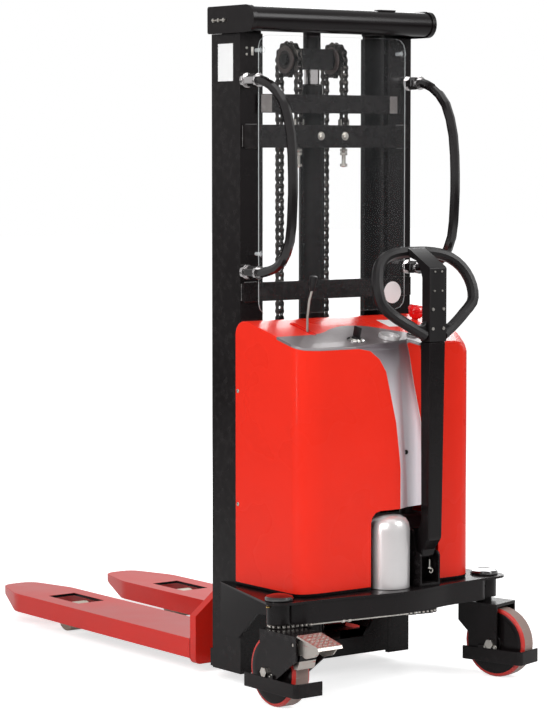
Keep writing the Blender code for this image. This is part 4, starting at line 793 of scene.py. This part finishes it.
axleBolts = dict(
    head=0.0042, tall=0.0036, washer=0.0056, leftX=(-0.3788, -0.2892), leftY=(-0.234, -0.265),
    leftZ=0.0825, rightReach=0.0448, rightY=(-0.0335, -0.0635), rightZ=0.0815)


def buildWheelHardware():
    size = axleBolts
    bolt = (size["head"], size["tall"], size["washer"])
    left = bmesh.new()
    for y in size["leftY"]:
        for face, x in zip((-1, 1), size["leftX"]):
            addBolt(left, at(x, y, size["leftZ"]), (face, 0, 0), *bolt)
    meshPiece("leftForkBolts", left, "zinc", "steered_fork", 30)
    right = bmesh.new()
    turn = Matrix.Rotation(wheelValues["casterTurn"], 4, "Z")
    for y in size["rightY"]:
        for face in (-1, 1):
            place = at(*casterPin) + turn @ Vector((face * size["rightReach"], y, size["rightZ"]))
            addBolt(right, place, turn @ Vector((face, 0, 0)), *bolt)
    meshPiece("rightForkBolts", right, "zinc", "caster", 30)


ribValues = dict(
    rows=10, firstY=-0.3745, rowGap=0.0072, slope=0.225, slopeY=-0.368, slopeZ=0.1982, columns=5,
    firstX=-0.3755, gap=0.015, stagger=0.006, length=0.009, lean=0.0022, radius=0.0011, endX=-0.305)


def buildPedalRibs():
    # staggered ribs across the sloping tread
    size = ribValues
    work = bmesh.new()
    for row in range(size["rows"]):
        odd = row % 2
        y = size["firstY"] - row * size["rowGap"]
        z = size["slopeZ"] + (y - size["slopeY"]) * size["slope"]
        for step in range(size["columns"]):
            x = size["firstX"] + step * size["gap"] + odd * size["stagger"]
            if x + size["length"] < size["endX"]:
                lean = -size["lean"] if odd else size["lean"]
                addTube(work, [at(x, y, z), at(x + size["length"], y + lean, z)], size["radius"], 6)
    meshPiece("pedalRibs", work, "pedalZinc", "brake")


springValues = dict(
    rod=((0.0975, -0.2975, 0.305), (0.0975, -0.2975, 0.33)), rodRadius=0.0016, wire=0.0015,
    hookAt=(0.1025, -0.2975, 0.301), hookRadius=0.0055, hookTurn=math.tau * 0.86,
    collarAt=(0.0975, -0.2975, 0.3085), collar=((0.0042, -0.002), (0.0042, 0.002)))


def buildTillerStud():
    # the return spring's rod and hook between the two cheeks
    size = springValues
    work = bmesh.new()
    addTube(work, [at(*point) for point in size["rod"]], size["rodRadius"], 8)
    turns = [size["hookTurn"] * i / 11 for i in range(12)]
    hook = [Vector((-math.cos(t), 0, -math.sin(t))) * size["hookRadius"] for t in turns]
    addTube(work, [at(*size["hookAt"]) + offset for offset in hook], size["wire"], 8)
    addTurned(work, size["collar"], at(*size["collarAt"]), (0, 0, 1), 6)
    meshPiece("tillerRod", work, "zinc", "tiller_swivel")


anchorValues = dict(
    nuts=(1.3205, 1.35, 1.359, 1.388), nutRadius=0.0096, nutHalf=0.0038, cheekReach=0.0118,
    cheekHalf=0.006, cheekLow=1.419, cheekHigh=1.442, cheekThick=0.0022,
    stud=((0.0042, 1.319), (0.0052, 1.3205), (0.0052, 1.4187)),
    collar=((0.0072, 1.41), (0.008, 1.411), (0.008, 1.418), (0.0072, 1.4187)))


def buildAnchors():
    # threaded chain anchors with their nuts, and the cheeks of a clevis on each chain
    size = anchorValues
    y, up = chainValues["rear"][0], (0, 0, 1)
    for side, word in ((-1, "Left"), (1, "Right")):
        work = bmesh.new()
        x = side * chainValues["x"]
        addTurned(work, size["stud"], at(x, y, 0), up, 16)
        for low in size["nuts"]:
            half = size["nutHalf"]
            addNut(work, at(x, y, low + half), up, size["nutRadius"], half, 0.0008, 0.001, spin=0.3)
        addTurned(work, size["collar"], at(x, y, 0), up, 20)
        made = meshPiece("chainAnchor" + word, work, "zinc", "chassis", 30)
        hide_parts("chain_anchor_" + word.lower())
    cheeks = bmesh.new()
    for side in (-1, 1):
        for face in (-1, 1):
            x = side * chainValues["x"] + face * size["cheekReach"]
            low = (x, y - size["cheekHalf"], size["cheekLow"])
            high = (x, y + size["cheekHalf"], size["cheekHigh"])
            addPlate(cheeks, rectangle(low, high), (face, 0, 0), size["cheekThick"])
    meshPiece("chainClevises", cheeks, "zinc", "chassis")


trimValues = dict(
    key=(-0.079, -0.218), stop=(0.228, -0.08),
    bezel=((0.024, 0.0), (0.024, 0.002), (0.0215, 0.0034), (0.017, 0.0024), (0.013, 0.0008)),
    skirt=((0.0115, 0.0042), (0.015, 0.006), (0.0185, 0.013), (0.0208, 0.0205), (0.02, 0.025)))


def buildConsoleTrim():
    # a dished bezel under the key and a wide skirt under the stop button
    size = trimValues
    bezel = bmesh.new()
    addTurned(bezel, size["bezel"], onTop(*size["key"]), topNormal, 40)
    meshPiece("keyBezel", bezel, "chrome", "chassis", 30)
    skirt = bmesh.new()
    addTurned(skirt, size["skirt"], onTop(*size["stop"]), topNormal, 36)
    meshPiece("stopSkirt", skirt, "stopRed", "stop_button", 50)


flangeValues = dict(reach=0.0098, bore=0.0232, profile=(
    (0.0345, 0.0), (0.035, 0.001), (0.035, 0.0034), (0.0335, 0.0044), (0.0235, 0.0044), (0.022, 0.0028),
    (0.0195, 0.0026)))


def buildSprocketFlanges():
    # plain flanges beside the teeth, with a dark bore
    size = flangeValues
    y, z = chainValues["wheelY"], chainValues["wheelZ"]
    for side, word in ((-1, "left"), (1, "right")):
        for face in (-1, 1):
            work = bmesh.new()
            centre = at(side * chainValues["x"] + face * size["reach"], y, z)
            addTurned(work, size["profile"], centre, (face, 0, 0), 48)
            made = meshPiece("flange" + word.capitalize() + ("Outer" if face == side else "Inner"), work,
                             "flangeBrown", "sprocket_" + word, 30)
            paintWhere(made, "blackPaint", lambda p, n: math.hypot(p.y - y, p.z - z) < size["bore"])


rimValues = dict(reach=0.025, steeredTrail=0.004, profile=(
    (0.0805, -0.001), (0.0805, 0.0006), (0.079, 0.0012), (0.066, 0.0012)))


def buildRims():
    # the cast wheel's rim covers most of the tyre's side
    size = rimValues
    wheel = wheelValues
    trail = Matrix.Rotation(wheel["casterTurn"], 4, "Z") @ Vector((0, -wheel["trail"], 0))
    leftHub = at(-wheel["x"], wheel["kingpinY"] - size["steeredTrail"], wheel["axleZ"])
    rightHub = casterPin + Vector((0, 0, wheel["axleZ"])) + trail + mastShift
    for word, body, hub, axis in (("Left", "left_wheel", leftHub, Vector((1, 0, 0))),
                                  ("Right", "right_wheel", rightHub, casterAxis)):
        work = bmesh.new()
        for face in (-1, 1):
            addTurned(work, size["profile"], hub + axis * face * size["reach"], axis * face, 64)
        meshPiece("rim" + word, work, "blackPaint", body, 30)


webValues = dict(
    x=0.098, y=-0.317, thick=0.018, edge=0.003, outline=(
        (0.064, 0.931), (0.05, 0.9265), (0.038, 0.9275), (0.0262, 0.937), (0.0262, 0.892), (0.064, 0.913)))


def buildHeadWebs():
    # webs that run the lower spokes into the tiller head
    size = webValues
    work = bmesh.new()
    for side in (-1, 1):
        corners = [at(size["x"] + side * x, size["y"], z) for x, z in size["outline"]]
        addPlate(work, corners, (0, 1, 0), size["thick"])
    made = meshPiece("headWebs", work, "blackPlastic", "tiller")
    bevel = made.modifiers.new("edges", "BEVEL")
    bevel.width = size["edge"]
    bevel.segments = 2


# small hardware, welds and blank labels

beamValues = dict(
    bolts=((-0.027, -0.0084, 1.399), (0.051, -0.0084, 1.399)), screwRadius=0.0032, screwTall=0.002,
    screws=((-0.2575, -0.0004, 1.6185), (-0.2575, -0.0004, 1.6025)),
    tag=((-0.244, -0.0003, 1.6), (-0.237, -0.0003, 1.621)), tagThick=0.0012)


def buildBeamBolts():
    size = beamValues
    bolts = bmesh.new()
    for place in size["bolts"]:
        addBolt(bolts, at(*place), (0, -1, 0))
    for place in size["screws"]:
        addScrew(bolts, at(*place), (0, -1, 0), size["screwRadius"], size["screwTall"])
    meshPiece("beamBolts", bolts, "zinc", "chassis", 30)
    tag = bmesh.new()
    addPlate(tag, rectangle(*size["tag"]), (0, -1, 0), size["tagThick"])
    meshPiece("columnTag", tag, "zinc", "chassis")


studValues = dict(x=-0.2985, z=1.688, ends=(0.034, 0.09), radius=0.0022, nuts=(0.04, 0.062, 0.084),
                  nutRadius=0.0054, nutHalf=0.0035)


def buildHeadStud():
    size = studValues
    x, z = size["x"], size["z"]
    studs = bmesh.new()
    addTube(studs, [at(x, y, z) for y in size["ends"]], size["radius"], 10)
    for y in size["nuts"]:
        addNut(studs, at(x, y, z), (0, 1, 0), size["nutRadius"], size["nutHalf"])
    meshPiece("headPlateStud", studs, "zinc", "lifting_mast")


# an upright gives x, low end and high end, a row gives its outer end and z
weldValues = dict(
    uprights=((0.2705, 1.371, 1.425), (0.2745, 0.984, 1.028)), uprightY=-0.0012,
    rows=((0.262, 1.3685), (0.262, 1.4275), (0.266, 0.9815), (0.266, 1.0305)), rowInner=0.226,
    rowY=-0.0008, rowRadius=0.0017, sleeve=(0.3085, -0.2625), sleeveEnds=(0.2085, 0.256),
    sleeveRadius=0.0026)


def buildBeamWelds():
    # upright beads at the beams' ends, thinner ones above and below them
    size = weldValues
    beads = bmesh.new()
    for side in (-1, 1):
        for x, *ends in size["uprights"]:
            addBead(beads, *[at(side * x, size["uprightY"], z) for z in ends])
        for outer, z in size["rows"]:
            ends = [at(side * x, size["rowY"], z) for x in (size["rowInner"], outer)]
            addBead(beads, *ends, size["rowRadius"])
    meshPiece("beamWelds", beads, "weldBlack", "chassis", 60)


def buildSleeveWelds():
    size = weldValues
    x, y = size["sleeve"]
    beads = bmesh.new()
    for side in (-1, 1):
        addBead(beads, *[at(side * x, y, z) for z in size["sleeveEnds"]], size["sleeveRadius"])
    meshPiece("sleeveWelds", beads, "weldBlack", "chassis", 60)


plateValues = dict(ends=(((-0.221, -0.0128, 1.4585), (-0.188, -0.0128, 1.5025)),
                         ((0.196, -0.0128, 1.4585), (0.221, -0.0128, 1.5025))), endThick=0.0008,
                   tab=((0.123, -0.06, 1.719), (0.176, -0.038, 1.719)), tabThick=0.0036)


def buildInnerBeamEnds():
    # rubbed end plates on the inner mast's cross beam
    ends = bmesh.new()
    for corners in plateValues["ends"]:
        addPlate(ends, rectangle(*corners), (0, -1, 0), plateValues["endThick"])
    meshPiece("innerBeamEnds", ends, "wornSteel", "lifting_mast")


def buildHeadTab():
    tab = bmesh.new()
    addPlate(tab, rectangle(*plateValues["tab"]), (0, 0, 1), plateValues["tabThick"])
    meshPiece("headTab", tab, "blackPaint", "lifting_mast")


labelValues = dict(
    thick=0.0005, column=((-0.2782, 0.029, 1.536), (-0.2782, 0.093, 1.63)), topRise=0.0002,
    top=((0.103, -0.074), (0.148, -0.078), (0.144, -0.132), (0.102, -0.129)),
    discAt=(0.196, -0.0262, 0.992), disc=((0.0285, 0.0002), (0.0285, 0.0006)))


def buildBlankLabels():
    size = labelValues
    labels = bmesh.new()
    addPlate(labels, rectangle(*size["column"]), (-1, 0, 0), size["thick"])
    corners = [onTop(x, y, size["topRise"]) for x, y in size["top"]]
    addPlate(labels, corners, topNormal, size["thick"])
    meshPiece("blankLabels", labels, "labelWhite", "chassis")
    disc = bmesh.new()
    addTurned(disc, size["disc"], at(*size["discAt"]), (0, -1, 0), 48)
    meshPiece("blankDisc", disc, "labelWhite", "chassis")


fastenerValues = dict(
    nipple=((0.003, 0.0), (0.003, 0.004), (0.0018, 0.006), (0.0024, 0.0085), (0.0012, 0.01)),
    nippleAt=(-0.366, -0.24, 0.248), nippleAim=(-1, -0.1, 0.2),
    screws=((-0.2838, 0.0015, 0.757), (-0.2838, 0.0015, 0.4695)), screwRadius=0.0052, screwTall=0.0026,
    ring=((0.006, -0.0004), (0.006, 0.0006), (0.004, 0.0009), (0.0028, 0.0002)),
    ringAt=(0.0655, -0.2412, 0.6), ringAim=(-0.25, -0.97, 0))


def buildCoverFasteners():
    # a grease nipple on the kingpin sleeve, screws in the cover's side, a dished screw in the strip
    size = fastenerValues
    nipple = bmesh.new()
    addTurned(nipple, size["nipple"], at(*size["nippleAt"]), size["nippleAim"], 12)
    meshPiece("greaseNipple", nipple, "brass", "chassis")
    screws = bmesh.new()
    for place in size["screws"]:
        addScrew(screws, at(*place), (-1, 0, 0), size["screwRadius"], size["screwTall"])
    meshPiece("coverScrews", screws, "zinc", "chassis", 30)
    ring = bmesh.new()
    addTurned(ring, size["ring"], at(*size["ringAt"]), size["ringAim"], 24)
    meshPiece("stripScrew", ring, "blackPlastic", "chassis", 30)


for build in (buildLeverSlot, buildWheelHardware, buildPedalRibs, buildTillerStud, buildAnchors,
              buildConsoleTrim, buildSprocketFlanges, buildRims, buildHeadWebs, buildBeamBolts,
              buildHeadStud, buildBeamWelds, buildInnerBeamEnds, buildBlankLabels, buildHeadTab,
              buildSleeveWelds, buildCoverFasteners):
    build()
print("hardware built")


# floor, lights and camera

studio = dict(floorSize=60.0, floorColour=(0.8, 0.8, 0.8, 1), floorRoughness=0.9, glow=(0.7, 1.0),
              glowReach=(1.2, 3.5), mirrorGlow=(0.25, 0.0), mirrorReach=(2.4, 5.2), skyGlow=(0.12, 0.75))


def buildFloor():
    # seen by the camera the floor brightens outwards, mirrored it glows near the machine only
    values = studio
    half = values["floorSize"] / 2
    corners = ((-half, -half), (half, -half), (half, half), (-half, half))
    work = bmesh.new()
    work.faces.new([work.verts.new((x, y, 0)) for x, y in corners])
    made, tree, shader = newMaterial("paleFloor")
    where = tree.nodes.new("ShaderNodeTexCoord")
    away = tree.nodes.new("ShaderNodeVectorMath")
    away.operation = "LENGTH"
    distance = feed(tree, away, {0: where.outputs["Object"]}).outputs["Value"]
    spread = addRange(tree, distance, values["glowReach"], values["glow"], smooth=True)
    near = addRange(tree, distance, values["mirrorReach"], values["mirrorGlow"], smooth=True)
    path = tree.nodes.new("ShaderNodeLightPath")
    seen = addMath(tree, "MULTIPLY", path.outputs["Is Camera Ray"], spread)
    level = addMath(tree, "MULTIPLY_ADD", path.outputs["Is Glossy Ray"], near, seen)
    feed(tree, shader, {"Base Color": values["floorColour"], "Roughness": values["floorRoughness"],
                        "Specular IOR Level": 0.0, "Emission Color": (1, 1, 1, 1),
                        "Emission Strength": level})
    addMesh("studioFloor", work, made)


def buildSky():
    # white to the camera and through the guard, dim as a light, brighter in mirrors
    world = bpy.data.worlds.new("studioWorld")
    bpy.context.scene.world = world
    world.use_nodes = True
    tree = world.node_tree
    tree.nodes.clear()
    sink = tree.nodes.new("ShaderNodeOutputWorld")
    path = tree.nodes.new("ShaderNodeLightPath")
    seen = addMath(tree, "MAXIMUM", path.outputs["Is Camera Ray"], path.outputs["Is Transmission Ray"])
    mirrored = addRange(tree, path.outputs["Is Glossy Ray"], toValues=studio["skyGlow"])
    glow = feed(tree, tree.nodes.new("ShaderNodeBackground"),
                {"Color": (1, 1, 1, 1), "Strength": addRange(tree, seen, toValues=(mirrored, 1.0))})
    tree.links.new(glow.outputs["Background"], sink.inputs["Surface"])


lampValues = {
    "keyLamp": dict(place=(-3.6, -2.2, 3.0), aim=0.8, power=140, size=(2.4, 2.4)),
    "fillLamp": dict(place=(2.2, -4.2, 3.8), aim=0.8, power=160, size=(2.2, 2.2)),
    "rimLamp": dict(place=(3.2, 2.8, 2.6), aim=1.0, power=60, size=(1.6, 2.4)),
    "topLamp": dict(place=(0.0, -0.6, 4.6), aim=0.8, power=34, size=(3.0, 3.0)),
    "stripLamp": dict(place=(-3.9, -0.9, 1.5), aim=1.0, power=26, size=(0.16, 2.4)),
}


def addLamp(name, values):
    lamp = bpy.data.lights.new(name, "AREA")
    lamp.energy = values["power"]
    lamp.shape = "RECTANGLE"
    lamp.size, lamp.size_y = values["size"]
    made = addObject(name, lamp)
    made.location = values["place"]
    heading = Vector((0, 0, values["aim"])) - Vector(values["place"])
    made.rotation_euler = heading.to_track_quat("-Z", "Y").to_euler()


cameraValues = dict(sensor=36.0, lens=132.21, place=(-4.1358, -5.2893, 1.3591), tilt=-4.454758,
                    heading=-36.840006)


def buildCamera():
    values = cameraValues
    lens = bpy.data.cameras.new("view")
    lens.sensor_width = values["sensor"]
    lens.lens = values["lens"]
    made = addObject("view", lens)
    made.location = at(*values["place"])
    made.rotation_euler = (math.radians(90 + values["tilt"]), 0, math.radians(values["heading"]))
    bpy.context.scene.camera = made


buildFloor()
buildSky()
for name, values in lampValues.items():
    addLamp(name, values)
buildCamera()
bpy.context.scene.view_settings.view_transform = "Standard"
print("studio ready")
